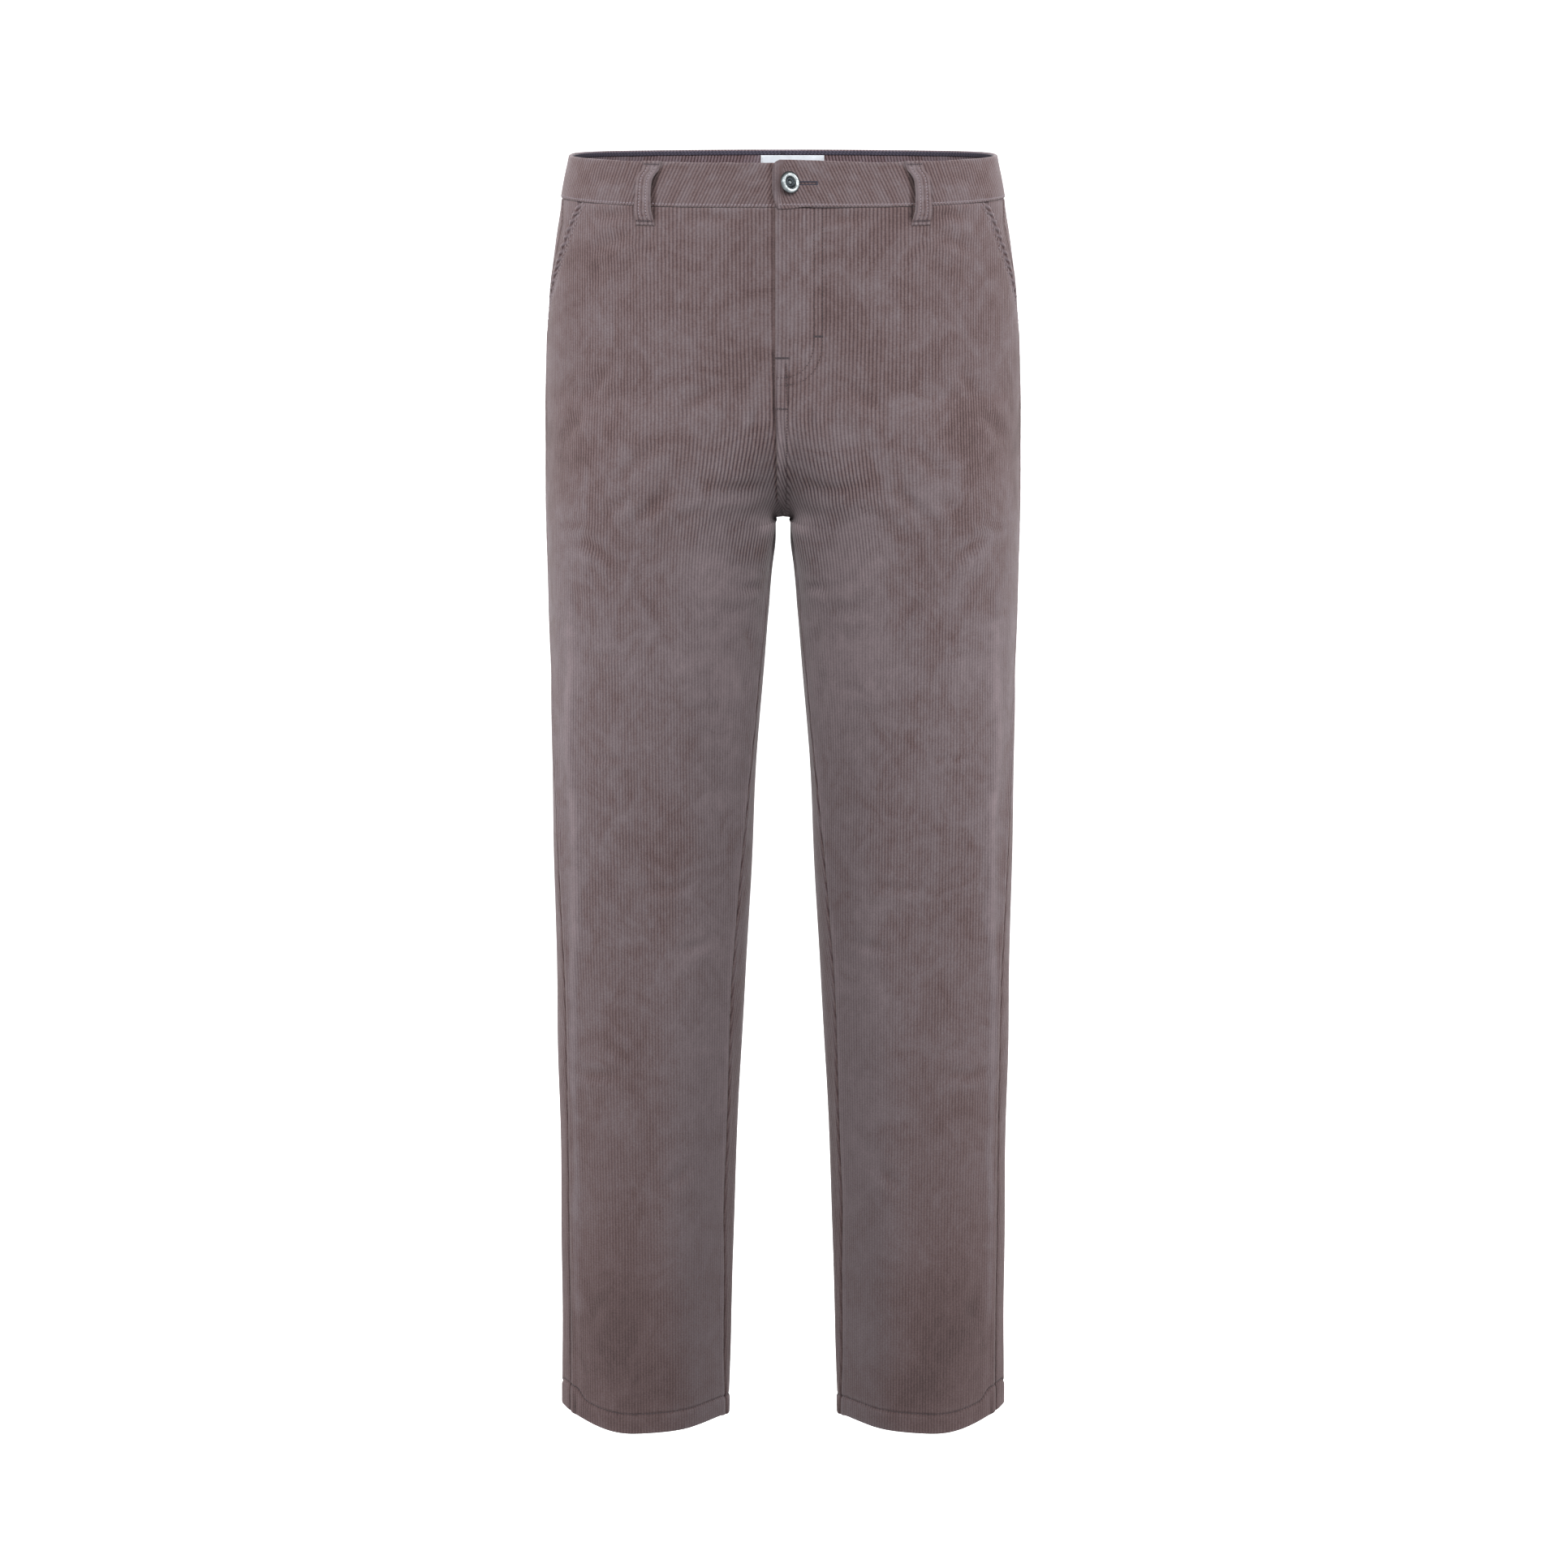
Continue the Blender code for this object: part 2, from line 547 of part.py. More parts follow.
# ---------------------------------------------------------------- button
def waist_button():
    """A ring-topped shank button turned about its own axis, standing on the band."""
    direction = skin(WAIST_SEAM + BUTTON_HEIGHT, BUTTON_SHARE, 1.0) - skin(WAIST_SEAM + BUTTON_HEIGHT, BUTTON_SHARE)
    across = np.cross(direction, (0.0, 0.0, 1.0))
    across /= np.linalg.norm(across)
    upward = np.cross(across, direction)
    radii = np.array(BUTTON_SHAPE["radius"]) * MM
    levels = np.array(BUTTON_SHAPE["height"]) * MM
    turns = 24
    points = [BUTTON_FOOT + direction * levels[0]]
    faces = []
    rings = []
    for radius, level in zip(radii[1:-1], levels[1:-1]):
        ring = []
        for step in range(turns):
            angle = 2 * np.pi * step / turns
            ring.append(len(points))
            points.append(BUTTON_FOOT + direction * level
                          + radius * (across * np.cos(angle) + upward * np.sin(angle)))
        rings.append(ring)
    points.append(BUTTON_FOOT + direction * levels[-1])
    last = len(points) - 1
    for step in range(turns):
        after = (step + 1) % turns
        faces.append((0, rings[0][step], rings[0][after]))
        faces.append((last, rings[-1][after], rings[-1][step]))
        for low, high in zip(rings, rings[1:]):
            faces.append((low[after], low[step], high[step], high[after]))
    return solid("waist_button", points, faces, colour=(0.35, 0.36, 0.37), rough=0.3, metal=1.0)


waist_button()
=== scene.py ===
"""Looks of the corduroy chinos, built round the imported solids.

The cloth is a set of thin shells on the same skin as the solids.
A place on the skin is named by its height and by its share of the way round the left half:
share 0 is the centre front (lower down, the inside leg seam), 1 the side seam, 2 the centre back.
The right half is the left one mirrored in x.
Creases, seam ridges and rolled edges are heights added along the skin's own outward direction.
Metres, z up, the front faces -y, the origin is the middle of the waist opening.
"""

import json

import bpy
import numpy as np
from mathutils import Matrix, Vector

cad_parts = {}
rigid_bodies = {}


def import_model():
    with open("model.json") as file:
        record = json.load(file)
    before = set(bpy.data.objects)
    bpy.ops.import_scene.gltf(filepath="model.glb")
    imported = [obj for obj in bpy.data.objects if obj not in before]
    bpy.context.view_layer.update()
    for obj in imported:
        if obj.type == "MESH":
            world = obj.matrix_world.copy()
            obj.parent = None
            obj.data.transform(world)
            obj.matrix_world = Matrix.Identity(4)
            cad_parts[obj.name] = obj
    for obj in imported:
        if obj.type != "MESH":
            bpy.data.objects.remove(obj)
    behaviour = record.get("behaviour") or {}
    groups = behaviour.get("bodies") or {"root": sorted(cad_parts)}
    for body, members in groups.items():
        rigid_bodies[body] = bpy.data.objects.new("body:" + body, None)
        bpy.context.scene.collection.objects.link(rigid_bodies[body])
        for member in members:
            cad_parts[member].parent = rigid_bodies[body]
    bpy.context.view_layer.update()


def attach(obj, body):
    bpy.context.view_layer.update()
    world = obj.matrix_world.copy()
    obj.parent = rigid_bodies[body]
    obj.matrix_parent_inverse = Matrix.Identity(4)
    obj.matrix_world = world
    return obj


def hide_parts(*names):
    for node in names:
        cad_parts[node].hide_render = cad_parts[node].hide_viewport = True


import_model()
scene = bpy.context.scene

# ---------------- driving sizes, as in the solids
MM = 0.001
CLOTH = 1.5 * MM              # corduroy wall
SEAM = 0.08 * MM              # gap left between two pieces that are sewn together
FOLDED_HEM = 3.1 * MM         # wall where the hem is turned up inside
HEM_TURN = 20.0 * MM          # height of the turned-up hem
HEM_STITCH = 18.5 * MM        # the row of stitches that holds it
HEM_CLIMB = 8.0 * MM          # which climbs by this much on its way to the side seam
BAND_HEIGHT = 36.0 * MM
BAND_OUT = 0.6 * MM           # the band stands this far proud of the panels
BAND_IN = 2.4 * MM            # and reaches this far inside the skin
WAIST_SEAM = -17.5 * MM
WAIST_TILT = 0.043            # the back of the waist sits higher than the front
BACK_TILT = 0.052             # behind the sides it climbs a little more
HIP_LIFT = 1.8 * MM           # and the sides sit higher than both
HEM_HEIGHT = -1100.3 * MM
HEM_TILT = 0.0625             # the hem is square to the slanting leg
LEG_MIDDLE = 125.0 * MM
CROTCH = -289.5 * MM
CROTCH_ROUND = 8.0 * MM
CLEFT_REACH = 45.0 * MM
CROTCH_REACH = 50.0 * MM
FRONT_RISE_TOP = -180.0 * MM
BACK_RISE_TOP = -150.0 * MM
SQUARE = 2.35                 # 2 would be a plain ellipse, more is squarer

FLY_LAP = 6.5 * MM            # the left front passes the centre by this much
STRIP_LAP = 5.7 * MM          # and by this much in the felled seam below the fly
FLY_UNDER = 2.5 * MM          # the right front runs under the left by this much
FLY_LIFT = CLOTH + 0.45 * MM
LAP_END = -248.0 * MM         # the right front's underlap has run out here
STRIP_END = -281.0 * MM       # and the felled seam here
BAND_LAP = 9.0 * MM
BAND_UNDER = 25.0 * MM
BAND_LIFT = BAND_IN + BAND_OUT + 0.3 * MM
FELL_STITCH = 3.6 * MM        # the row beside the felled seam, from the centre
MOUTH_STITCH = 6.0 * MM       # the row beside the pocket mouth

LOOP_WALL = 1.8 * MM
LOOP_WIDTH = 13 * MM          # flat
LOOP_STITCH = 2.7 * MM        # each row of stitches from the loop's middle
BUTTON_X = 3.9 * MM
BUTTON_HEIGHT = 18.9 * MM     # above the waist seam
SLIT_START = 4.0 * MM         # the buttonhole runs from under the button
SLIT_END = 27.0 * MM
SLIT_HALF = 0.45 * MM

WALE = 2.9 * MM               # the real wale is 1.93 mm wide, drawn coarser so that it shows in the render
GRAIN_X = 118.0 * MM          # the wales run straight down at this x of each leg
OTHER_CLOUDS = 400 * WALE     # the left leg lies this far along the cloth, so its nap is clouded differently

# height, greatest x, front y and back y of the sections, in mm
SECTIONS = {
    "height": (30, 18.5, -7, -31, -55, -103, -152, -200, -250, -290, -334, -377, -420, -463, -550, -637,
               -726, -815, -906, -997, -1125),
    "side": (179.5, 181.4, 186.8, 190.8, 194.9, 200.6, 203.2, 204.7, 204.7, 204.3, 203.1, 202.3, 201.3, 201.6,
             202.1, 201.1, 199.7, 199.4, 199.4, 199.4, 200.7),
    "front": (-103.5, -104, -107.5, -111, -113.5, -117, -119, -119.2, -118.2, -116, -112.5, -109, -105.5,
              -101, -91, -81, -73.5, -68, -64.5, -62, -60),
    "back": (101, 102, 108.5, 116, 124, 138, 147, 148, 141, 129, 113, 102, 95.5, 89.5, 79, 70.5, 67,
             65.5, 64.5, 63.5, 62.5),
}
# least x of the oval of one leg, how much further the cleft between the thighs pushes in, in mm,
# and how far the section has gone from an oval to a pressed leg with an edge at each side
INSIDE_LEG = {
    "height": (30, -264, -289.5, -291, -293.5, -297, -306, -334, -377, -420, -506, -637, -726, -815, -906,
               -1125),
    "inside": (0, 0, 0, 0.07, 0.2, 0.45, 1.6, 6.8, 12.6, 16.6, 22.6, 30.2, 35.2, 38.9, 43.7, 49.8),
    "cleft": (0, 0, 5.8, 7.0, 7.6, 7.9, 7.5, 4.3, 1.4, 0.4, 0, 0, 0, 0, 0, 0),
    "lens": (0, 0, 0, 0, 0, 0, 0, 0, 0, 0, 0, 0.05, 0.2, 0.4, 0.55, 0.8),
}
# how far the side seam and the inside seam sit forward of the widest points, in degrees
SEAM_TURNS = {
    "height": (30, -20, -40, -60, -85, -120, -292, -334, -377, -420, -463, -520, -550, -600, -660, -700, -750,
               -850, -900, -970, -1040, -1085, -1125),
    "outside": (6, 10, 14, 12, 7, 4, 3, 3.3, 4, 8, 14.5, 19.5, 22, 24.5, 27, 28.2, 28.4, 28.7, 29, 29.2, 29.4,
                29.6, 30),
    "inner": (0, 0, 0, 0, 0, 0, 0, 6, 12.5, 16.8, 19, 23.3, 25.2, 28.7, 31, 32.3, 31.8, 30.5, 29.8, 25.7, 23.5,
              18.8, 15.7),
}
# slant pocket mouth: how far forward of the side seam the edge lies, in mm
POCKET_MOUTH = {
    "height": (30, -20, -30.5, -40.5, -56, -67.5, -77.5, -86.5, -93.5, -101.5, -112.5, -123, -140),
    "forward": (44, 37.4, 26.5, 19.6, 17, 16.2, 16.4, 16.4, 14.4, 10.4, 5.5, 0, 0),
}
# the long soft edge pressed down the outside of each leg: its x and how strong it is, in mm
LONG_RIDGE = {
    "height": (-300, -345, -387, -420, -477, -505, -550, -594, -640, -697, -770, -845, -920, -1000, -1060,
               -1095),
    "x": (181, 181, 181.5, 182, 184.5, 183, 179.5, 180, 180.5, 183.5, 184, 182, 184, 183.5, 183, 183),
    "strong": (0, 0.3, 0.9, 1.1, 1.2, 1.1, 1.3, 1.3, 1.4, 1.4, 1.3, 1.1, 1.1, 0.6, 0.3, 0),
}
# the overlapping end of the band: height above the waist seam and the part of the lap there
BAND_END = {"above": (0, 7, 14, 27, 31, 34, 36), "lap": (0.55, 0.85, 1.0, 1.0, 0.94, 0.75, 0.35)}
# a belt loop: height above the waist seam, shift away from the side, standing off, width, in mm
LOOP_SHAPE = {
    "above": (36.3, 33.0, 28.5, 25.0, 20.0, 10.0, 1.0, -4.0, -9.0, -12.6, -16.0),
    "shift": (8.2, 8.0, 7.0, 4.8, 3.2, 2.9, 2.9, 2.6, 2.4, 2.1, 1.8),
    "off": (0.5, 0.7, 1.4, 2.2, 3.0, 3.4, 3.4, 3.0, 2.0, 1.0, 0.35),
    "width": (15.6, 15.4, 15.0, 14.6, 13.8, 13.4, 14.2, 15.0, 15.8, 16.4, 16.6),
}

# soft troughs pressed into the cloth: start, middle and end as (x, height), half width, depth, shoulder,
# all in mm but the shoulder, which is the height of the ridges beside the trough as a part of its depth
FRONT_FOLDS = {
    "smile across the inner thigh": (79, -245, 43, -256, 14, -250, 6, 2.2, 0.4),
    "smile carried outwards": (90, -250, 108, -268, 131, -285, 5.5, 2.6, 0.5),
    "outer half of the smile": (118, -258, 137, -268, 150, -279, 5, 1.9, 0.5),
    "upper thigh pull, inner": (47, -168, 68, -179, 89, -200, 6, 1.5, 0.5),
    "upper thigh pull, outer": (96, -212, 119, -230, 141, -254, 6, 1.7, 0.5),
    "short pull under the smile": (60, -269, 75, -276, 91, -285, 3.6, 1.2, 0.6),
    "side nick": (160, -284, 174, -287, 190, -290, 3.6, 1.6, 0.6),
    "hook below the nick": (173, -298, 157, -306, 139, -323, 5, 2.4, 0.6),
    "drop from the hook": (161, -314, 158, -327, 156, -343, 4.5, 1.4, 0.5),
    "drop, second": (133, -310, 135, -322, 136, -332, 4.5, 1.2, 0.5),
    "drop, third": (121, -317, 121, -332, 122, -349, 4.5, 1.3, 0.5),
    "long slant of the thigh": (117, -345, 105, -359, 90, -380, 5.5, 2.6, 0.55),
    "slant towards the inside leg": (72, -351, 54, -356, 34, -365, 5, 1.4, 0.5),
    "short bar by the inside leg": (38, -338, 28, -342, 18, -344, 4, 1.6, 0.6),
    "inside leg drop": (31, -373, 29, -385, 27, -401, 4, 1.5, 0.5),
    "inside leg drop, lower": (34, -413, 33, -428, 32, -444, 4, 1.3, 0.5),
    "side drop": (175, -340, 174, -352, 174, -370, 5, 1.2, 0.5),
    "pocket slant": (145, -152, 155, -167, 163, -181, 5, 1.5, 0.5),
    "pocket slant, lower": (168, -191, 177, -204, 188, -221, 5, 1.6, 0.5),
    "beside the fly": (21, -184, 21, -194, 20, -204, 4, 1.3, 0.6),
    "under the band": (80, -29, 54, -31.5, 29, -32, 4, 1.7, 0.45),
    "under the band, outer": (159, -29, 141, -29.5, 126, -28, 4, 1.4, 0.45),
    "from the loop": (123, -40, 111, -54, 96, -75, 3.8, 1.2, 0.6),
    "hip roll": (163, -60, 145, -52, 124, -44, 5, 1.2, 0.8),
    "hip drop": (154, -66, 155, -77, 156, -90, 5, 0.9, 0.5),
    "hip drop, inner": (123, -57, 124, -70, 126, -84, 5, 0.9, 0.5),
    "pressed line over the knee": (168, -396, 145, -397, 121, -395, 3, 0.7, 0.8),
    "pressed line, lower": (171, -486, 146, -487, 120, -484, 3, 0.8, 0.8),
    "knee bar": (128, -601, 102, -602, 75, -599, 4.5, 1, 0.7),
    "knee bar, lower": (96, -657, 78, -655, 56, -650, 4.5, 1, 0.7),
    "outer knee": (186, -770, 164, -774, 137, -767, 5, 1.3, 0.6),
    "outer knee slant": (156, -740, 143, -749, 128, -760, 5, 1, 0.8),
    "shin": (175, -960, 171, -981, 172, -1005, 5.5, 1.1, 0.5),
    "shin, lower": (176, -1012, 166, -992, 154, -972, 5.5, 1.1, 0.5),
    "shin, inner": (78, -852, 92, -866, 108, -874, 6, 0.9, 0.6),
    "thigh bar": (92, -440, 70, -444, 48, -441, 5, 0.8, 0.6),
}
BACK_FOLDS = {
    "under the seat": (16, -262, 62, -287, 112, -276, 8.5, 4.2, 0.45),
    "under the seat, lower": (34, -300, 76, -319, 122, -306, 7.5, 2.8, 0.5),
    "under the seat, outer": (132, -268, 156, -262, 184, -246, 6.5, 2.2, 0.5),
    "pull from the crotch": (10, -292, 36, -322, 74, -352, 6.5, 2.4, 0.5),
    "pull from the crotch, lower": (22, -348, 42, -368, 64, -392, 6, 1.5, 0.5),
    "outer thigh": (184, -316, 158, -330, 130, -346, 6, 2, 0.5),
    "outer thigh, lower": (178, -372, 158, -384, 138, -400, 6, 1.3, 0.5),
    "seat slant": (34, -150, 62, -182, 96, -203, 8, 1.7, 0.45),
    "seat slant, outer": (110, -196, 140, -214, 170, -220, 7, 1.4, 0.5),
    "small of the back": (100, -34, 66, -40, 30, -36, 5, 1.5, 0.45),
    "small of the back, outer": (160, -36, 140, -41, 118, -38, 5, 1.1, 0.45),
    "hip drop": (148, -66, 151, -86, 158, -108, 6, 1, 0.5),
    "behind the knee": (170, -556, 132, -571, 92, -559, 7.5, 2.6, 0.5),
    "behind the knee, second": (92, -594, 128, -607, 168, -596, 7, 2.2, 0.5),
    "behind the knee, third": (164, -642, 134, -650, 104, -641, 6.5, 1.5, 0.5),
    "behind the knee, slant": (70, -532, 88, -552, 108, -580, 6, 1.6, 0.5),
    "behind the knee, outer": (182, -600, 170, -618, 152, -632, 6, 1.4, 0.5),
    "calf": (84, -742, 112, -752, 142, -745, 7, 1.2, 0.5),
    "calf, outer": (176, -820, 160, -832, 140, -838, 6, 1, 0.5),
    "calf, inner": (76, -930, 92, -946, 112, -955, 6.5, 1, 0.5),
    "above the hem": (170, -1018, 152, -1008, 130, -1006, 6, 1, 0.5),
}
# the same on the band: (distance from the centre front, height above the waist seam)
BAND_LEFT_FOLDS = {
    "above the buttonhole": (34, 24, 25, 23.5, 15, 21, 3.4, 1, 0.3),
    "beyond the buttonhole": (48, 19, 40, 17.5, 31, 16.5, 3.4, 0.8, 0.3),
    "below the buttonhole": (26, 12, 20, 11.5, 14, 11, 2.6, 0.4, 0.5),
    "side of the band": (147, 23, 158, 19, 172, 14, 4, 0.8, 0.5),
}
BAND_RIGHT_FOLDS = {
    "pull to the button": (40, 16.5, 26, 14, 8, 13.5, 2.6, 1, 0.5),
    "pull to the button, upper": (34, 25, 24, 22.5, 8, 21.5, 2.6, 0.7, 0.5),
    "side of the band": (147, 23, 158, 19, 172, 14, 4, 0.8, 0.5),
}
# painted light (+) and painted shade (-) laid on the pile: middle (x, height), half width, half height, all in
# mm, and tint
FRONT_PAINTED_LIGHT = {
    "thigh bulge": (61, -294, 17, 12, 0.14),
    "thigh bulge, lower": (73, -322, 15, 13, 0.14),
    "thigh bulge, inner": (50, -316, 14, 9, 0.1),
    "band above the knee": (112, -412, 62, 17, 0.1),
    "upper hip band": (130, -118, 44, 12, 0.07),
    "hip hollow": (150, -66, 26, 22, -0.05),
    "inner thigh, painted light": (55, -400, 32, 84, 0.22),
    "top of the inner thigh": (50, -338, 26, 28, 0.2),
    "above the smile": (55, -226, 34, 16, 0.07),
    "over the crotch": (0, -268, 26, 24, 0.26),
    "corner of the gap": (14, -291, 7, 7, 0.45),
    "beside the crotch": (14, -286, 14, 12, 0.24),
    "under the smile": (46, -266, 38, 22, 0.1),
    "side of the hip, painted shade": (168, -222, 34, 52, -0.12),
    "side of the calf, painted shade": (150, -1000, 30, 56, -0.18),
    "above the hem, painted shade": (126, -1068, 52, 34, -0.11),
    "shin": (104, -905, 34, 60, 0.02),
}
# painted light on the seat and the bulges of the back
BACK_PAINTED_LIGHT = {
    "seat": (92, -170, 52, 46, 0.07),
    "thigh bulge": (78, -340, 26, 20, 0.1),
    "calf": (118, -700, 44, 60, 0.05),
}
# button turned about its shank: radius and height above the cloth, in mm
BUTTON_SHAPE = (
    (0.0, -3.0), (2.2, -3.0), (2.2, 0.7), (4.0, 0.8), (6.6, 0.9), (8.2, 1.2), (9.2, 1.8), (9.7, 2.6),
    (9.75, 3.3), (9.4, 4.1), (8.7, 4.8), (7.8, 5.2), (6.9, 5.3), (6.1, 5.1), (5.5, 4.7), (5.15, 4.1),
    (4.95, 3.4), (4.6, 2.8), (4.0, 2.45), (3.2, 2.3), (2.5, 2.35), (2.15, 2.6), (1.9, 3.1), (1.45, 3.6),
    (0.8, 3.85), (0.0, 3.95),
)


# ---------------- the skin
def smooth_step(value):
    """0 below 0, 1 above 1, 3v^2 - 2v^3 between."""
    value = np.clip(value, 0.0, 1.0)
    return value * value * (3.0 - 2.0 * value)


def bell(value):
    """exp(-v^2): 1 at the middle, falling softly to nothing."""
    return np.exp(-np.square(value))


def hump(value, middle, wide):
    """A bell round a middle; this and its half width are in mm."""
    return bell((value - middle * MM) / (wide * MM))


def rises(value, start, over):
    """A smooth step up from a start over a length, both in mm."""
    return smooth_step((value - start * MM) / (over * MM))


def falls(value, end, over):
    """A smooth step down over a length, to nothing at an end, both in mm."""
    return smooth_step((end * MM - value) / (over * MM))


def along(table, name, height, first="height"):
    """A named column of a table at any height: a cubic that keeps rising or falling as the table does."""
    knots = np.array(table[first], dtype=float) * MM
    values = np.array(table[name], dtype=float)
    if knots[0] > knots[-1]:
        knots = knots[::-1]
        values = values[::-1]
    steps = np.diff(knots)
    rates = np.diff(values) / steps
    slopes = np.zeros(len(knots))
    slopes[0] = rates[0]
    slopes[-1] = rates[-1]
    same_way = rates[:-1] * rates[1:] > 0
    weight_a = 2 * steps[1:] + steps[:-1]
    weight_b = steps[1:] + 2 * steps[:-1]
    safe_a = np.where(same_way, rates[:-1], 1.0)
    safe_b = np.where(same_way, rates[1:], 1.0)
    mean = (weight_a + weight_b) / (weight_a / safe_a + weight_b / safe_b)
    slopes[1:-1] = np.where(same_way, mean, 0.0)
    height = np.clip(np.asarray(height, dtype=float), knots[0], knots[-1])
    index = np.clip(np.searchsorted(knots, height) - 1, 0, len(steps) - 1)
    part = (height - knots[index]) / steps[index]
    gap = steps[index]
    low = values[index]
    high = values[index + 1]
    return (low * (1 + 2 * part) * (1 - part) ** 2 + slopes[index] * gap * part * (1 - part) ** 2
            + high * part ** 2 * (3 - 2 * part) + slopes[index + 1] * gap * part ** 2 * (part - 1))


def rise_part(height, top):
    """1 above the start of a rise curve, falling as (1 - s^2)^0.6 to 0 at the crotch."""
    drop = np.clip((top - height) / (top - CROTCH), 0.0, 1.0)
    return (1.0 - drop ** 2) ** 0.6


def oval(angle, inner, outer, middle_y, depth, lens=0.0):
    """x = mx + hx cos|cos|^(2/n - 1), y = my + depth sin|sin|^(2/n - 1), from x = inner to x = outer.

    With c the part of hx reached, a lens blends the depth towards 1 - |c|^2.3, with an edge at each side.
    """
    power = 2.0 / SQUARE
    cosine = np.cos(angle)
    sine = np.sin(angle)
    reached = np.sign(cosine) * np.abs(cosine) ** power
    thick = (1 - lens) * np.abs(sine) ** power + lens * (1 - np.abs(reached) ** 2.3)
    return (outer + inner) / 2 + (outer - inner) / 2 * reached, middle_y + depth * np.sign(sine) * thick


def eased_to_centre(x, opened):
    """Near x = 0 the spacing goes as a root, so the two halves meet in a rounded hollow."""
    x = np.maximum(x, 0.0)
    rounding = 4 * CROTCH_ROUND * opened * (1 - opened)
    return x + (np.sqrt(x * x + 2 * rounding * x) - x) * np.exp(-x / CROTCH_REACH)


def reach_of_rise(opened, outer):
    """How far past the centre an oval reaches for x = 0 to cut it at this part of its depth, and the angle."""
    quotient = (1.0 - opened ** SQUARE) ** (1 / SQUARE)
    return outer * (1 - quotient) / (1 + quotient), np.arccos(quotient ** (SQUARE / 2))


def cross_section(height, shares):
    """One level outline: an oval that reaches past the centre above the crotch and stops short below."""
    outer = along(SECTIONS, "side", height) * MM
    front = along(SECTIONS, "front", height) * MM
    back = along(SECTIONS, "back", height) * MM
    middle = (front + back) / 2
    depth = (back - front) / 2
    side = 2 * np.pi - np.radians(along(SEAM_TURNS, "outside", height))
    if height <= CROTCH:
        start = np.pi + np.radians(along(SEAM_TURNS, "inner", height))
        angle = np.where(shares < 1, start + (side - start) * shares,
                         side + (start + 2 * np.pi - side) * (shares - 1))
        x, y = oval(angle, along(INSIDE_LEG, "inside", height) * MM, outer, middle, depth,
                    along(INSIDE_LEG, "lens", height))
        from_seam = from_ends(x, y)
        return x + along(INSIDE_LEG, "cleft", height) * MM * bell(from_seam / CLEFT_REACH), y
    front_open = rise_part(height, FRONT_RISE_TOP)
    back_open = rise_part(height, BACK_RISE_TOP)
    front_reach, front_cut = reach_of_rise(front_open, outer)
    back_reach, back_cut = reach_of_rise(back_open, outer)
    start = np.pi + front_cut
    finish = 3 * np.pi - back_cut
    angle = np.where(shares < 1, start + (side - start) * shares, side + (finish - side) * (shares - 1))
    front_x, front_y = oval(angle, -front_reach, outer, middle, depth)
    back_x, back_y = oval(angle, -back_reach, outer, middle, depth)
    in_front = angle < 2 * np.pi
    x = np.where(in_front, eased_to_centre(front_x, front_open), eased_to_centre(back_x, back_open))
    y = np.where(in_front, front_y, back_y)
    from_seam = from_ends(x, y)
    x = x + (along(INSIDE_LEG, "cleft", height) * MM * bell(from_seam / CLEFT_REACH)
             * (1 - hump(from_seam, 0, 4)))
    x[0] = 0.0
    x[-1] = 0.0
    return x, y


def from_ends(x, y):
    """Length along an outline from the nearer of its two ends."""
    walked = np.concatenate(([0.0], np.cumsum(np.hypot(np.diff(x), np.diff(y)))))
    return np.minimum(walked, walked[-1] - walked)


LEVELS = np.concatenate((
    np.linspace(-1.135, -0.32, 400), np.linspace(-0.3195, -0.2955, 40), np.linspace(-0.2953, CROTCH, 50),
    CROTCH + np.linspace(0.0, 1.0, 240)[1:] ** 1.6 * (-0.17 - CROTCH), np.linspace(-0.1695, 0.04, 180)))
STEPS = 180
SKIN = np.zeros((len(LEVELS), 2 * STEPS + 1, 2))
FRONT_LENGTH = np.zeros(len(LEVELS))
BACK_LENGTH = np.zeros(len(LEVELS))
FRONT_GRAIN = np.zeros(len(LEVELS))
BACK_GRAIN = np.zeros(len(LEVELS))


def fill_skin():
    """Tabulate the sections with equal steps of length, and how far round each level crosses the grain line."""
    fine = np.linspace(0.0, 2.0, 1441)
    even = np.linspace(0.0, 1.0, STEPS + 1)
    for row, height in enumerate(LEVELS):
        x, y = cross_section(height, fine)
        length = np.concatenate(([0.0], np.cumsum(np.hypot(np.diff(x), np.diff(y)))))
        side_length = length[720]
        rest = length[-1] - side_length
        targets = np.concatenate((even * side_length, side_length + even[1:] * rest))
        SKIN[row, :, 0] = np.interp(targets, length, x)
        SKIN[row, :, 1] = np.interp(targets, length, y)
        FRONT_LENGTH[row] = side_length
        BACK_LENGTH[row] = rest
        FRONT_GRAIN[row] = np.interp(GRAIN_X, x[:721], length[:721])
        inward = slice(1440, 900, -1)
        BACK_GRAIN[row] = np.interp(GRAIN_X, x[inward], length[inward]) - side_length


fill_skin()


def at_height(column, height):
    """A tabulated length at any height."""
    return np.interp(height, LEVELS, column)


def front_length(height):
    """From the centre front or inside seam round to the side seam."""
    return at_height(FRONT_LENGTH, height)


def back_length(height):
    """And on from there to the centre back or inside seam."""
    return at_height(BACK_LENGTH, height)


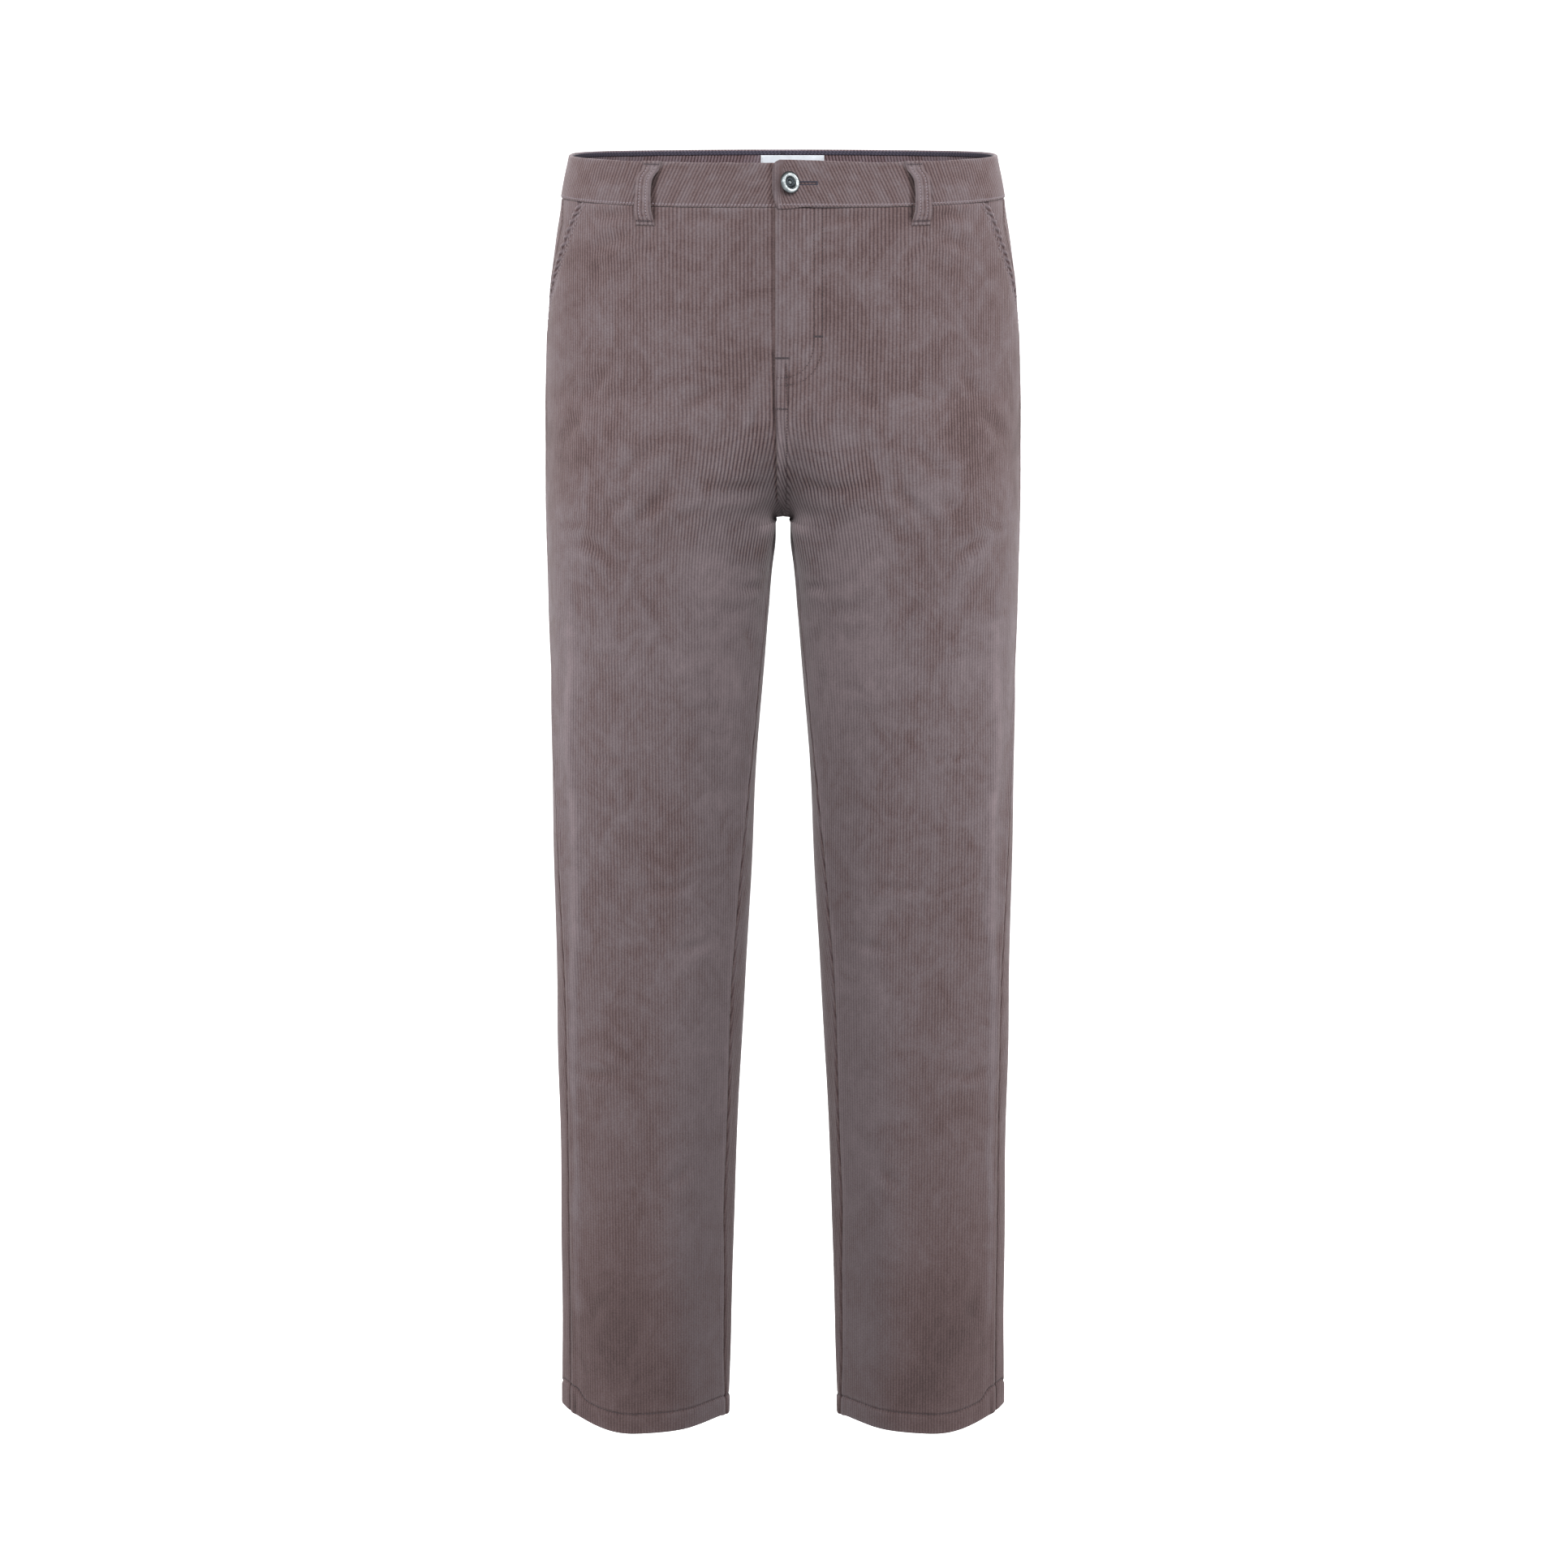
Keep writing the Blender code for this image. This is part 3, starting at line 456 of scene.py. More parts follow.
def level_point(height, share):
    """A point of the skin before the waist and hem are tilted; past the ends it mirrors or wraps."""
    above = height > CROTCH
    mirrored = above & ((share < 0) | (share > 2))
    folded = np.where(share < 0, -share, np.where(share > 2, 4 - share, share))
    wrapped = np.where(share < 0, 2 + share, np.where(share > 2, share - 2, share))
    place = np.where(above, folded, wrapped) * STEPS
    row = np.interp(height, LEVELS, np.arange(len(LEVELS)))
    row_low = np.clip(row.astype(int), 0, len(LEVELS) - 2)
    column_low = np.clip(place.astype(int), 0, 2 * STEPS - 1)
    row_part = (row - row_low)[..., None]
    column_part = (place - column_low)[..., None]
    low = SKIN[row_low, column_low] * (1 - column_part) + SKIN[row_low, column_low + 1] * column_part
    high = SKIN[row_low + 1, column_low] * (1 - column_part) + SKIN[row_low + 1, column_low + 1] * column_part
    flat = low * (1 - row_part) + high * row_part
    return np.where(mirrored, -flat[..., 0], flat[..., 0]), flat[..., 1]


def bare_point(height, share):
    """Skin point with the waist tipped up at the back and the hem square to the leg."""
    x, y = level_point(height, share)
    waist = (np.where(y < 0, WAIST_TILT, BACK_TILT) * y + HIP_LIFT * (x / 0.18) ** 4) * rises(height, -150, 130)
    bow = (-4.4 * MM * hump(x, 148, 33) + 2.4 * MM * hump(x, 62, 20)) * smooth_step(-y / 0.02)
    hem = (HEM_TILT * (x - LEG_MIDDLE) + bow) * falls(height, -900, 190)
    return np.stack((x, y, height + waist + hem), axis=-1)


def outward_at(height, share):
    """Unit direction away from the cloth: the step round the skin crossed with the step up it."""
    round_step = 0.008
    down_step = 1.2 * MM
    along_round = bare_point(height, share + round_step) - bare_point(height, share - round_step)
    along_up = bare_point(height + down_step, share) - bare_point(height - down_step, share)
    outward = np.cross(along_round, along_up)
    return outward / np.linalg.norm(outward, axis=-1, keepdims=True)


def skin(height, share, out=0.0):
    """Points of the left half moved out along the skin by the given distance."""
    height, share, out = np.broadcast_arrays(height, share, out)
    return bare_point(height, share) + outward_at(height, share) * out[..., None]


def share_at_x(height, x):
    """Share of the front where the level section passes a given x."""
    shares = np.linspace(0.0, 1.0, 161)
    points = bare_point(np.full(161, height), shares)
    return float(np.interp(x, points[:, 0], shares))


# ---------------- relief of the cloth
def ripple(place, wavelengths, phase):
    """Sum of three sines of unlike wavelength, between -1 and 1."""
    total = 0.0
    for number, wavelength in enumerate(wavelengths):
        total = total + np.sin(2 * np.pi * place / wavelength + phase * (1.7 + number) + number)
    return total / len(wavelengths)


def soft_rolls(x, z, phase):
    """Slow swell of hanging cloth: slanting sines 70 to 190 mm long, added up."""
    return (np.sin(x / 0.021 + z / 0.043 + phase) + 0.8 * np.sin(-x / 0.030 + z / 0.026 + 2.1 * phase)
            + 0.7 * np.sin(x / 0.016 - z / 0.064 + 0.7 * phase)) / 2.5


def fold_relief(folds, x, z):
    """Height that the creases add at places (x, z), in metres.

    Each crease follows a parabola through its three points.
    Across it the height is -deep exp(-(d / wide)^2), with shoulders at 2 wide, the lower one larger.
    Along it the depth eases in and out as the 0.8th power of a half sine.
    """
    flat_x = x.ravel()
    flat_z = z.ravel()
    flat = np.zeros(flat_x.shape)
    for values in folds.values():
        *places, wide, deep, shoulder = values
        ends = np.array(places, float).reshape(3, 2) * MM
        wide = wide * MM
        low = ends.min(axis=0) - 4.5 * wide
        high = ends.max(axis=0) + 4.5 * wide
        near = np.nonzero((flat_x > low[0]) & (flat_x < high[0]) & (flat_z > low[1]) & (flat_z < high[1]))[0]
        if len(near) == 0:
            continue
        bend = 2 * ends[1] - (ends[0] + ends[2]) / 2
        t = np.linspace(0.0, 1.0, 25)[:, None]
        curve = (1 - t) ** 2 * ends[0] + 2 * t * (1 - t) * bend + t ** 2 * ends[2]
        heading = 2 * (1 - t) * (bend - ends[0]) + 2 * t * (ends[2] - bend)
        speed = np.linalg.norm(heading, axis=1, keepdims=True)
        heading = heading / speed
        offset = np.stack((flat_x[near], flat_z[near]), axis=1)[:, None] - curve
        nearest = np.argmin(np.sum(offset ** 2, axis=2), axis=1)
        offset = offset[np.arange(len(near)), nearest]
        heading = heading[nearest]
        aside = heading[:, 0] * offset[:, 1] - heading[:, 1] * offset[:, 0]
        aside = aside * np.sign(ends[2, 0] - ends[0, 0] + 1e-9)
        place = nearest / 24 + np.sum(offset * heading, axis=1) / speed[nearest, 0]
        ease = np.sin(np.pi * np.clip(place, 0.0, 1.0)) ** 0.8
        across = (-bell(aside / wide) + 0.8 * shoulder * bell((aside - 2 * wide) / (1.3 * wide))
                  + 1.2 * shoulder * bell((aside + 2 * wide) / (1.4 * wide)))
        flat[near] += deep * MM * across * ease
    return flat.reshape(x.shape)


def painted_light_marks(marks, x, z):
    """Sum of soft patches of painted light and shade, each tint * exp(-(dx / wide)^2 - (dz / high)^2)."""
    total = np.zeros(x.shape)
    for middle_x, middle_z, wide, high, tint in marks.values():
        total += tint * hump(x, middle_x, wide) * hump(z, middle_z, high)
    return total


def rounded_edge(from_edge, radius):
    """How far a surface drops as it rolls over an edge: a quarter circle of the given radius."""
    short = np.clip(1 - from_edge / radius, 0.0, 1.0)
    return -radius * (1 - np.sqrt(1 - short ** 2))


def sewn_edge(from_edge, place, ridge_at, ridge, phase):
    """Cloth beside a seam: a dip into it, a low ridge over the turned-in edge, and small puckers."""
    dip = -1.1 * MM * np.clip(1 - from_edge / (2.0 * MM), 0.0, 1.0) ** 2
    swell = ridge * bell((from_edge - ridge_at) / (0.62 * ridge_at))
    pucker = 0.22 * MM * ripple(place, (0.031, 0.0137, 0.0087), phase) * np.exp(-np.abs(from_edge) / (6 * MM))
    return dip + swell + pucker


def groove(from_line, wide, deep):
    """A row of stitches pulls the cloth in along a line: -deep exp(-(d / wide)^2), both in mm."""
    return -deep * MM * bell(from_line / (wide * MM))


# ---------------- the leg panels as surfaces
PANEL_TOP = WAIST_SEAM - 0.3 * MM
FLY_LINES = (25.5 * MM, 32.7 * MM)      # the two rows of the fly stitching, from the centre
FLY_CORNER = -128.0 * MM                # they run straight down to here, then curve to the fly edge
FLY_TURNS = (-161.4 * MM, -167.7 * MM)  # height at which each meets the edge


def fly_curve(line):
    """Distance and height along one row: straight down, then a quarter of a superellipse to the fly edge."""
    straight = np.linspace(PANEL_TOP - 1 * MM, FLY_CORNER, 60)
    turn = np.linspace(0.0, np.pi / 2, 50)
    reach = FLY_LINES[line] + FLY_LAP - 1.2 * MM
    drop = FLY_CORNER - FLY_TURNS[line]
    round_x = FLY_LINES[line] - reach * (1 - np.cos(turn) ** 0.75)
    round_z = FLY_CORNER - drop * np.sin(turn) ** 0.85
    return np.concatenate((np.full(60, FLY_LINES[line]), round_x[1:])), np.concatenate((straight, round_z[1:]))


def fly_slit(height):
    """How far the open edge of the fly lies from the centre, between its bar tacks."""
    return 2.4 * MM + 0.035 * (-148 * MM - height)


def front_edges(height, left):
    """Distances of the inner edge and the outer edge of a front panel from the centre or inside seam."""
    if left:
        lap = (STRIP_LAP * rises(height - STRIP_END, 0, 15) + (FLY_LAP - STRIP_LAP) * rises(height, -205, 25))
    else:
        lap = FLY_UNDER * rises(height - LAP_END, 0, 15)
    mouth = along(POCKET_MOUTH, "forward", height) * MM
    return SEAM / 2 - lap, front_length(height) - mouth - SEAM / 2


def fly_lift(height, distance):
    """The left front is lifted over the right one: widely at the fly, narrowly in the felled seam below."""
    down = rises(height, -287, 10)
    wide = 1 - rises(distance, 9, 26)
    narrow = 1 - rises(distance, 3.4, 4)
    blend = rises(height, -200, 30)
    return FLY_LIFT * down * (narrow + (wide - narrow) * blend)


def front_shape(height, distance, left):
    """Relief and tint of a front panel, at heights and distances from the centre front or inside seam."""
    height, distance = np.broadcast_arrays(height, distance)
    inner_edge, outer_edge = front_edges(height, left)
    point = bare_point(height, distance / front_length(height))
    x = point[..., 0]
    z = point[..., 2]
    from_inner = distance - inner_edge
    from_outer = outer_edge - distance
    above_hem = height - HEM_HEIGHT
    free = rises(from_inner, 0, 14) * rises(from_outer, 0, 14) * rises(above_hem, 12, 30)
    folds = fold_relief(FRONT_FOLDS, np.abs(x), z) * (0.25 + 0.75 * free)
    rolls = 0.9 * MM * soft_rolls(x, z, 0.4) * free
    below_crotch = rises(CROTCH + 10 * MM - height, 0, 12)
    in_pocket = rises(height, -131, 8)
    flat_seam = 1 - 0.97 * hump(height - CROTCH, 0, 7)
    inseam = sewn_edge(from_inner, height, 4.0 * MM, 0.7 * MM, 1.3) * below_crotch * flat_seam
    rise = sewn_edge(from_inner, height, 4.0 * MM, 0.2 * MM, 2.3) * (1 - below_crotch) * flat_seam
    down_rise = rises(height, -276, 12)
    if left:
        rise = rounded_edge(from_inner, 1.1 * MM) * (1 - below_crotch)
        strip = rises(height - STRIP_END, 6, 6) * falls(height, -186, 3)
        slit = hump(distance - fly_slit(height), 0, 1.1) * (rises(height, -187, 3) * falls(height, -148, 6))
        rise = rise + groove(distance - FELL_STITCH, 0.9, 0.45) * strip - 0.8 * MM * slit
        stitched = fly_stitch_relief(height, distance)
        # painted shade in the fly's stitch grooves, along the felled row and in the slit below the fly; paler
        # lines along the fly edge, over the fly and between its rows
        seams = (0.14 * hump(from_inner, 2.4, 1.6) * down_rise + 500.0 * stitched
                 + 0.12 * hump(distance, -1, 5) * falls(height, -145, 4) * down_rise
                 + 0.10 * (1 - rises(distance, 22, 8)) * rises(height, -165, 9)
                 - 0.20 * hump(distance - FELL_STITCH, 0, 1.0) * strip - 0.45 * slit
                 + 0.06 * hump(distance, 29.1, 2.0) * rises(height - FLY_CORNER, 0, 4))
    else:
        # painted shadow beside the overlap, cast by the left front's edge
        under = rises(height, -205, 25)
        beside = (distance - STRIP_LAP - 1.1 * MM - (FLY_LAP - STRIP_LAP) * under) / (1.5 * MM)
        seams = -bell(beside) * down_rise * (0.42 + 0.16 * falls(height, -120, 20))
    side = sewn_edge(from_outer, height, 5.6 * MM, 1.0 * MM, 0.5) * (1 - in_pocket)
    mouth = (rounded_edge(from_outer, 1.2 * MM) + groove(from_outer - MOUTH_STITCH, 1.1, 0.45)
             + 0.45 * MM * hump(from_outer, 3.0, 2.0)) * in_pocket
    from_side = front_length(height) - distance
    hem = hem_relief(above_hem, distance, from_side)
    top = sewn_edge(PANEL_TOP - height, distance, 3.2 * MM, 0.25 * MM, 0.9)
    relief = folds + rolls + inseam + rise + side + mouth + hem + top
    if left:
        relief = relief + stitched + fly_lift(height, distance)
    uneven = 0.75 + 0.25 * ripple(z, (0.052, 0.113, 0.029), 1.9)
    worn = 0.26 * hump(from_inner, 4.6, 2.2) * below_crotch * uneven
    long_ridge = along(LONG_RIDGE, "strong", z)
    across_ridge = x - along(LONG_RIDGE, "x", z) * MM
    relief = relief + 1.1 * MM * hump(across_ridge, 0, 4.5) * long_ridge
    beside_strip = rises(height, -297, 18) * falls(height, -262, 20)
    # the stitching of the pocket mouth pulls its edge into slanting puckers
    puckers = np.cos(2 * np.pi * (height - 1.7 * from_outer) / (7.5 * MM)) * hump(from_outer, 4.0, 3.8)
    relief = relief + 0.4 * MM * puckers * in_pocket
    # painted light on the rolled edge and the pucker crests, painted shade in the stitch groove and between the
    # puckers
    by_mouth = (0.20 * hump(from_outer, 3.4, 2.6) - 0.14 * hump(from_outer, 6.8, 1.0)
                + 0.10 * hump(from_outer, 9.6, 2.2) + 0.28 * puckers) * in_pocket
    at_side = rises(x, 166, 22)
    # painted light on the outer side of the thigh, painted shade on the side of the hip and low on the outer
    # leg
    side_painted_light = at_side * (0.09 * falls(z, -310, 60) * rises(z, -600, 60)
                           - 0.12 * falls(z, -140, 80) * rises(z, -300, 60)
                           - 0.10 * falls(z, -600, 100))
    # painted light along the inside of the leg
    inseam_painted_light = (0.14 + 0.14 * falls(z, -580, 150)) * falls(z, -280, 50) * (1 - rises(from_inner, 30, 60))
    # painted shade in the creases and painted light on their shoulders: 68 x folds follows the fold relief
    tint = (painted_light_marks(FRONT_PAINTED_LIGHT, np.abs(x), z) + worn + 68.0 * folds + painted_light_by_height(z) + seams + by_mouth
            + side_painted_light + inseam_painted_light + loop_painted_shadow(height, distance) + hem_tint(above_hem, distance, from_side)
            # painted highlight along the long pressed ridge
            + (0.34 * hump(across_ridge, 0, 3.4) + 0.07 * hump(across_ridge, -4, 9)) * long_ridge * uneven
            - 0.48 * np.exp(-from_outer / (1.6 * MM)) * (1 - in_pocket) * uneven
            - 0.40 * np.exp(-from_inner / (1.5 * MM)) * below_crotch
            # painted shade down the strip over the crotch, where the seam turns under
            - 0.14 * hump(distance, 0, 5.5) * beside_strip
            - 0.30 * hump(from_side, 9.5, 1.6) * falls(above_hem, 20, 4)
            + 0.14 * hump(from_side, 14, 2.6) * falls(above_hem, 24, 6))
    return relief, tint


def painted_light_by_height(z):
    """Painted light on the thighs, paler than the rest, and painted shade low on the legs."""
    return (0.10 * hump(z, -430, 190) + 0.02 * hump(z, -660, 100) - 0.125 * falls(z, -720, 340)
            - 0.03 * rises(z, -200, 100))


def hem_line(from_side):
    """Height of the hem stitches above the hem: level, then climbing close to the side seam."""
    return HEM_STITCH + HEM_CLIMB * (1 - rises(from_side, 10, 17))


def with_hem_line(heights, distance, edges, from_side):
    """Bend the rows of a panel to follow its hem stitches, keeping its edges in their seams."""
    above = heights - HEM_HEIGHT
    part = rises(above, 7.2, 8.7) * (1 - rises(above, 22, 44))
    bent = heights + part * (hem_line(from_side) - HEM_STITCH)
    first, last = edges(heights)
    new_first, new_last = edges(bent)
    return bent, new_first + (distance - first) * (new_last - new_first) / (last - first)


def hem_relief(above_hem, distance, from_side):
    """The turned-up hem: a thicker cuff, its stitch groove with puckers beside it, and the rounded edge."""
    above_line = above_hem - hem_line(from_side)
    cuff = 0.6 * MM * falls(above_line, -1, 2.5)
    pulled = 0.36 * MM * ripple(distance, (0.017, 0.0093, 0.029), 0.6) * hump(above_line, 0, 7)
    return cuff + pulled + groove(above_line, 1.1, 0.9) + rounded_edge(above_hem, FOLDED_HEM / 2)


def hem_tint(above_hem, distance, from_side):
    """Painted shade in the stitched groove, dark in the seam that shows through the hem, worn pale on the
    ridges by them.
    """
    above_line = above_hem - hem_line(from_side)
    uneven = 0.7 + 0.3 * ripple(distance, (0.0131, 0.0237, 0.0071), 2.2)
    return (-0.24 * hump(above_line, 0, 1.2) * uneven + 0.09 * hump(above_line, 3.2, 2.0) * uneven
            + 0.05 * hump(above_line, -3.4, 2.2) + 0.07 * hump(above_hem, 1.5, 1.6))


def fly_stitch_relief(height, distance):
    """Grooves along the two rows of fly stitching."""
    total = np.zeros(height.shape)
    for line in range(2):
        line_x, line_z = fly_curve(line)
        near = (height > FLY_TURNS[line] - 4 * MM) & (distance < FLY_LINES[line] + 4 * MM)
        places = np.stack((distance[near], height[near]), axis=1)
        if len(places):
            gap = np.min(np.hypot(places[:, :1] - line_x, places[:, 1:] - line_z), axis=1)
            total[near] = np.minimum(total[near], groove(gap, 0.9, 0.4))
    return total


def front_point(height, distance, left, out=0.0):
    """A point on a front panel's outer face, raised by out."""
    relief, _ = front_shape(height, distance, left)
    return skin(height, distance / front_length(height), relief + out)


def back_shape(height, distance):
    """Relief and pile tint of a back panel, at distances from the side seam."""
    height, distance = np.broadcast_arrays(height, distance)
    length = back_length(height)
    point = bare_point(height, 1 + distance / length)
    x = point[..., 0]
    z = point[..., 2]
    from_side = distance
    from_middle = length - distance
    above_hem = height - HEM_HEIGHT
    free = rises(from_side, 0, 14) * rises(from_middle, 0, 14) * rises(above_hem, 12, 30)
    folds = fold_relief(BACK_FOLDS, np.abs(x), z) * (0.2 + 0.8 * free)
    rolls = 1.0 * MM * soft_rolls(x, z, 2.9) * free
    below_crotch = rises(CROTCH + 10 * MM - height, 0, 12)
    side = sewn_edge(from_side, height, 5.6 * MM, 0.2 * MM, 0.5)
    middle = sewn_edge(from_middle, height, 4.0 * MM, 0.5 * MM * below_crotch + 0.4 * MM * (1 - below_crotch),
                       1.3)
    middle = middle * (1 - 0.97 * hump(height - CROTCH, 0, 7))
    top = sewn_edge(PANEL_TOP - height, distance, 3.2 * MM, 0.25 * MM, 0.2)
    relief = folds + rolls + side + middle + top + hem_relief(above_hem, distance, from_side)
    # painted light on the seat and bulges, painted shade in the creases and light on their shoulders, and
    # painted light and shade by height
    tint = (painted_light_marks(BACK_PAINTED_LIGHT, np.abs(x), z) + 40.0 * folds + painted_light_by_height(z)
            - 0.30 * np.exp(-from_side / (1.5 * MM))
            - 0.22 * np.exp(-from_middle / (1.5 * MM)) + 0.05 * hump(from_side, 5, 4)
            - 0.12 * (1 - rises(from_side, 6, 30)) * falls(z, -500, 100)
            + 0.08 * hump(from_middle, 4, 2.4) + hem_tint(above_hem, distance, from_side))
    return relief, tint


def back_point(height, distance):
    """A point on a back panel's outer face."""
    relief, _ = back_shape(height, distance)
    return skin(height, 1 + distance / back_length(height), relief)


def panel_rows():
    """Heights of a panel's rows, upwards: closer at the top, the crotch, the hem stitch and the hem edge."""
    near_edge = np.array((0.0, 0.3, 0.8, 1.5, 2.4, 3.6, 5.2, 7.2)) * MM
    about_line = np.array((-2.6, -1.7, -1.0, -0.5, 0.0, 0.5, 1.0, 1.7, 2.6)) * MM
    crotch_above = np.array((0.02, 0.15, 0.4, 0.8, 1.4, 2.2, 3.2, 4.5, 6.0, 8.0)) * MM
    crotch_below = -np.array((0.25, 0.7, 1.3, 2.1, 3.1, 4.5, 6.2)) * MM
    plain = np.arange(HEM_HEIGHT + 9.5 * MM, PANEL_TOP - 9 * MM, 3.1 * MM)
    special = np.concatenate((HEM_HEIGHT + near_edge, HEM_HEIGHT + HEM_STITCH + about_line,
                              CROTCH + crotch_above, CROTCH + crotch_below, PANEL_TOP - near_edge))
    clear = np.min(np.abs(plain[:, None] - special), axis=1) > 1.2 * MM
    return np.sort(np.concatenate((plain[clear], special)))


ROWS = panel_rows()
EDGE_COLUMNS = np.array((0.0, 0.3, 0.75, 1.35, 2.1, 3.0, 4.1, 5.4, 7.0, 9.0, 11.2, 13.5)) * MM
FLY_COLUMNS = np.array((
    0.0, 0.3, 0.75, 1.35, 2.1, 3.0, 4.1, 5.4, 7.0, 8.0, 8.7, 9.3, 9.9, 10.7, 12.0, 14.0, 16.4, 19.0, 21.6, 24.0,
    26.4, 28.6, 30.2, 31.1, 31.7, 32.3, 32.9, 33.8, 35.4, 37.3, 38.3, 38.9, 39.5, 40.1, 41.0, 42.5, 45.0)) * MM


def wall_inside(height):
    """Depth of the inner face: one cloth, two at the turned-up hem."""
    return CLOTH + (FOLDED_HEM - CLOTH) * rises(HEM_HEIGHT + HEM_TURN + 0.6 * MM - height, 0, 0.6)


# ---------------- meshes
OTHER_SIDE = np.array((-1.0, 1.0, 1.0))


def mesh_from(name, points, faces, materials, cloth=None, tone_and_painted_light=None, marks=None, flat=None):
    """An object from points, quads (a repeated last corner makes a triangle) and values at the points."""
    mesh = bpy.data.meshes.new(name)
    faces = np.asarray(faces)
    corners = np.where(faces[:, 3] == faces[:, 2], 3, faces.shape[1])
    keep = np.arange(faces.shape[1]) < corners[:, None]
    loops = faces[keep]
    mesh.vertices.add(len(points))
    mesh.vertices.foreach_set("co", np.asarray(points, np.float32).ravel())
    mesh.loops.add(len(loops))
    mesh.loops.foreach_set("vertex_index", loops.astype(np.int32))
    mesh.polygons.add(len(faces))
    mesh.polygons.foreach_set("loop_start", np.concatenate(([0], np.cumsum(corners)[:-1])).astype(np.int32))
    mesh.polygons.foreach_set("loop_total", corners.astype(np.int32))
    smooth = np.ones(len(faces), bool) if flat is None else ~flat
    mesh.polygons.foreach_set("use_smooth", smooth)
    for material in materials:
        mesh.materials.append(material)
    if marks is not None:
        mesh.polygons.foreach_set("material_index", np.asarray(marks, np.int32))
    if cloth is not None:
        layer = mesh.uv_layers.new(name="cloth")
        layer.data.foreach_set("uv", np.asarray(cloth, np.float32)[loops].ravel())
    # per-point tint: the tone of the cloth or metal, and on the cloth painted light and shade as well
    if tone_and_painted_light is not None:
        attribute = mesh.attributes.new("tone_and_painted_light", "FLOAT", "POINT")
        attribute.data.foreach_set("value", np.asarray(tone_and_painted_light, np.float32).ravel())
    mesh.update(calc_edges=True)
    mesh.validate()
    thing = bpy.data.objects.new(name, mesh)
    scene.collection.objects.link(thing)
    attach(thing, "root")
    return thing


def shell_faces(present):
    """Quads of a closed wall between two grids: both faces, and a rim along every border of the faces present.

    Rows run upwards and columns round the body, so the first grid faces outwards.
    """
    rows = present.shape[0] + 1
    columns = present.shape[1] + 1
    index = np.arange(rows * columns).reshape(rows, columns)
    count = rows * columns
    outer = np.stack((index[:-1, :-1], index[:-1, 1:], index[1:, 1:], index[1:, :-1]), axis=-1)[present]
    inner = outer[:, ::-1] + count
    level = np.zeros((rows + 1, columns - 1), bool)
    level[1:-1] = present
    upright = np.zeros((rows - 1, columns + 1), bool)
    upright[:, 1:-1] = present
    starts = []
    ends = []
    for here, after, mask in (
            (index[:, :-1], index[:, 1:], level[1:] & ~level[:-1]),
            (index[:, 1:], index[:, :-1], ~level[1:] & level[:-1]),
            (index[1:, :], index[:-1, :], upright[:, 1:] & ~upright[:, :-1]),
            (index[:-1, :], index[1:, :], ~upright[:, 1:] & upright[:, :-1])):
        starts.append(here[mask])
        ends.append(after[mask])
    start = np.concatenate(starts)
    end = np.concatenate(ends)
    rim = np.stack((end, start, start + count, end + count), axis=-1)
    faces = np.concatenate((outer, inner, rim))
    marks = np.concatenate((np.zeros(len(outer)), np.ones(len(inner)), np.zeros(len(rim)))).astype(int)
    return faces, marks


def shell(name, outer, inner, materials, cloth, tone_and_painted_light, mirror=False, present=None):
    """A closed wall of cloth between two grids of points."""
    if present is None:
        present = np.ones((outer.shape[0] - 1, outer.shape[1] - 1), bool)
    faces, marks = shell_faces(present)
    points = np.concatenate((outer.reshape(-1, 3), inner.reshape(-1, 3)))
    if mirror:
        points = points * OTHER_SIDE
        faces = faces[:, ::-1]
    cloth = np.concatenate((cloth.reshape(-1, 2), cloth.reshape(-1, 2)))
    tone_and_painted_light = np.concatenate((tone_and_painted_light.ravel(), tone_and_painted_light.ravel()))
    if not present.all():
        used = np.unique(faces)
        lookup = np.zeros(len(points), int)
        lookup[used] = np.arange(len(used))
        faces = lookup[faces]
        points, cloth, tone_and_painted_light = points[used], cloth[used], tone_and_painted_light[used]
    if len(materials) == 1:
        marks = None
    return mesh_from(name, points, faces, materials, cloth, tone_and_painted_light, marks)


def turned_over(faces):
    """The same faces seen from behind; a repeated last corner stays a triangle."""
    return np.where(faces[:, 2:3] == faces[:, 3:4], faces[:, [0, 2, 1, 1]], faces[:, ::-1])


def closed_rings(rings, sides):
    """Faces of a body made of rings, with a fan at each end round the two points that follow the rings."""
    index = np.arange(rings * sides).reshape(rings, sides)
    after = np.roll(index, -1, axis=1)
    tip = np.full(sides, rings * sides)
    walls = np.stack((index[:-1], index[1:], after[1:], after[:-1]), axis=-1).reshape(-1, 4)
    first = np.stack((tip, index[0], after[0], after[0]), axis=-1)
    last = np.stack((tip + 1, after[-1], index[-1], index[-1]), axis=-1)
    return np.concatenate((walls, first, last))


def flat_cut(grid):
    """Greatest width and length of a piece of cloth laid flat, and its area, from its grid before creasing.

    The area is half the crossed diagonals of every quad.
    """
    widths = np.linalg.norm(np.diff(grid, axis=1), axis=-1).sum(axis=1)
    lengths = np.linalg.norm(np.diff(grid, axis=0), axis=-1).sum(axis=0)
    crossed = np.cross(grid[1:, 1:] - grid[:-1, :-1], grid[1:, :-1] - grid[:-1, 1:])
    return (float(widths.max()), float(lengths.max())), float(np.linalg.norm(crossed, axis=-1).sum() / 2)


def as_cloth(node, slot, grid):
    """Put a cloth in place of a solid by hiding the solid; its flat width, length and area are worked out but
    not kept. The finish given as slot is not used.
    """
    flat, area = flat_cut(grid)
    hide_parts(node)
    min(area, flat[0] * flat[1])


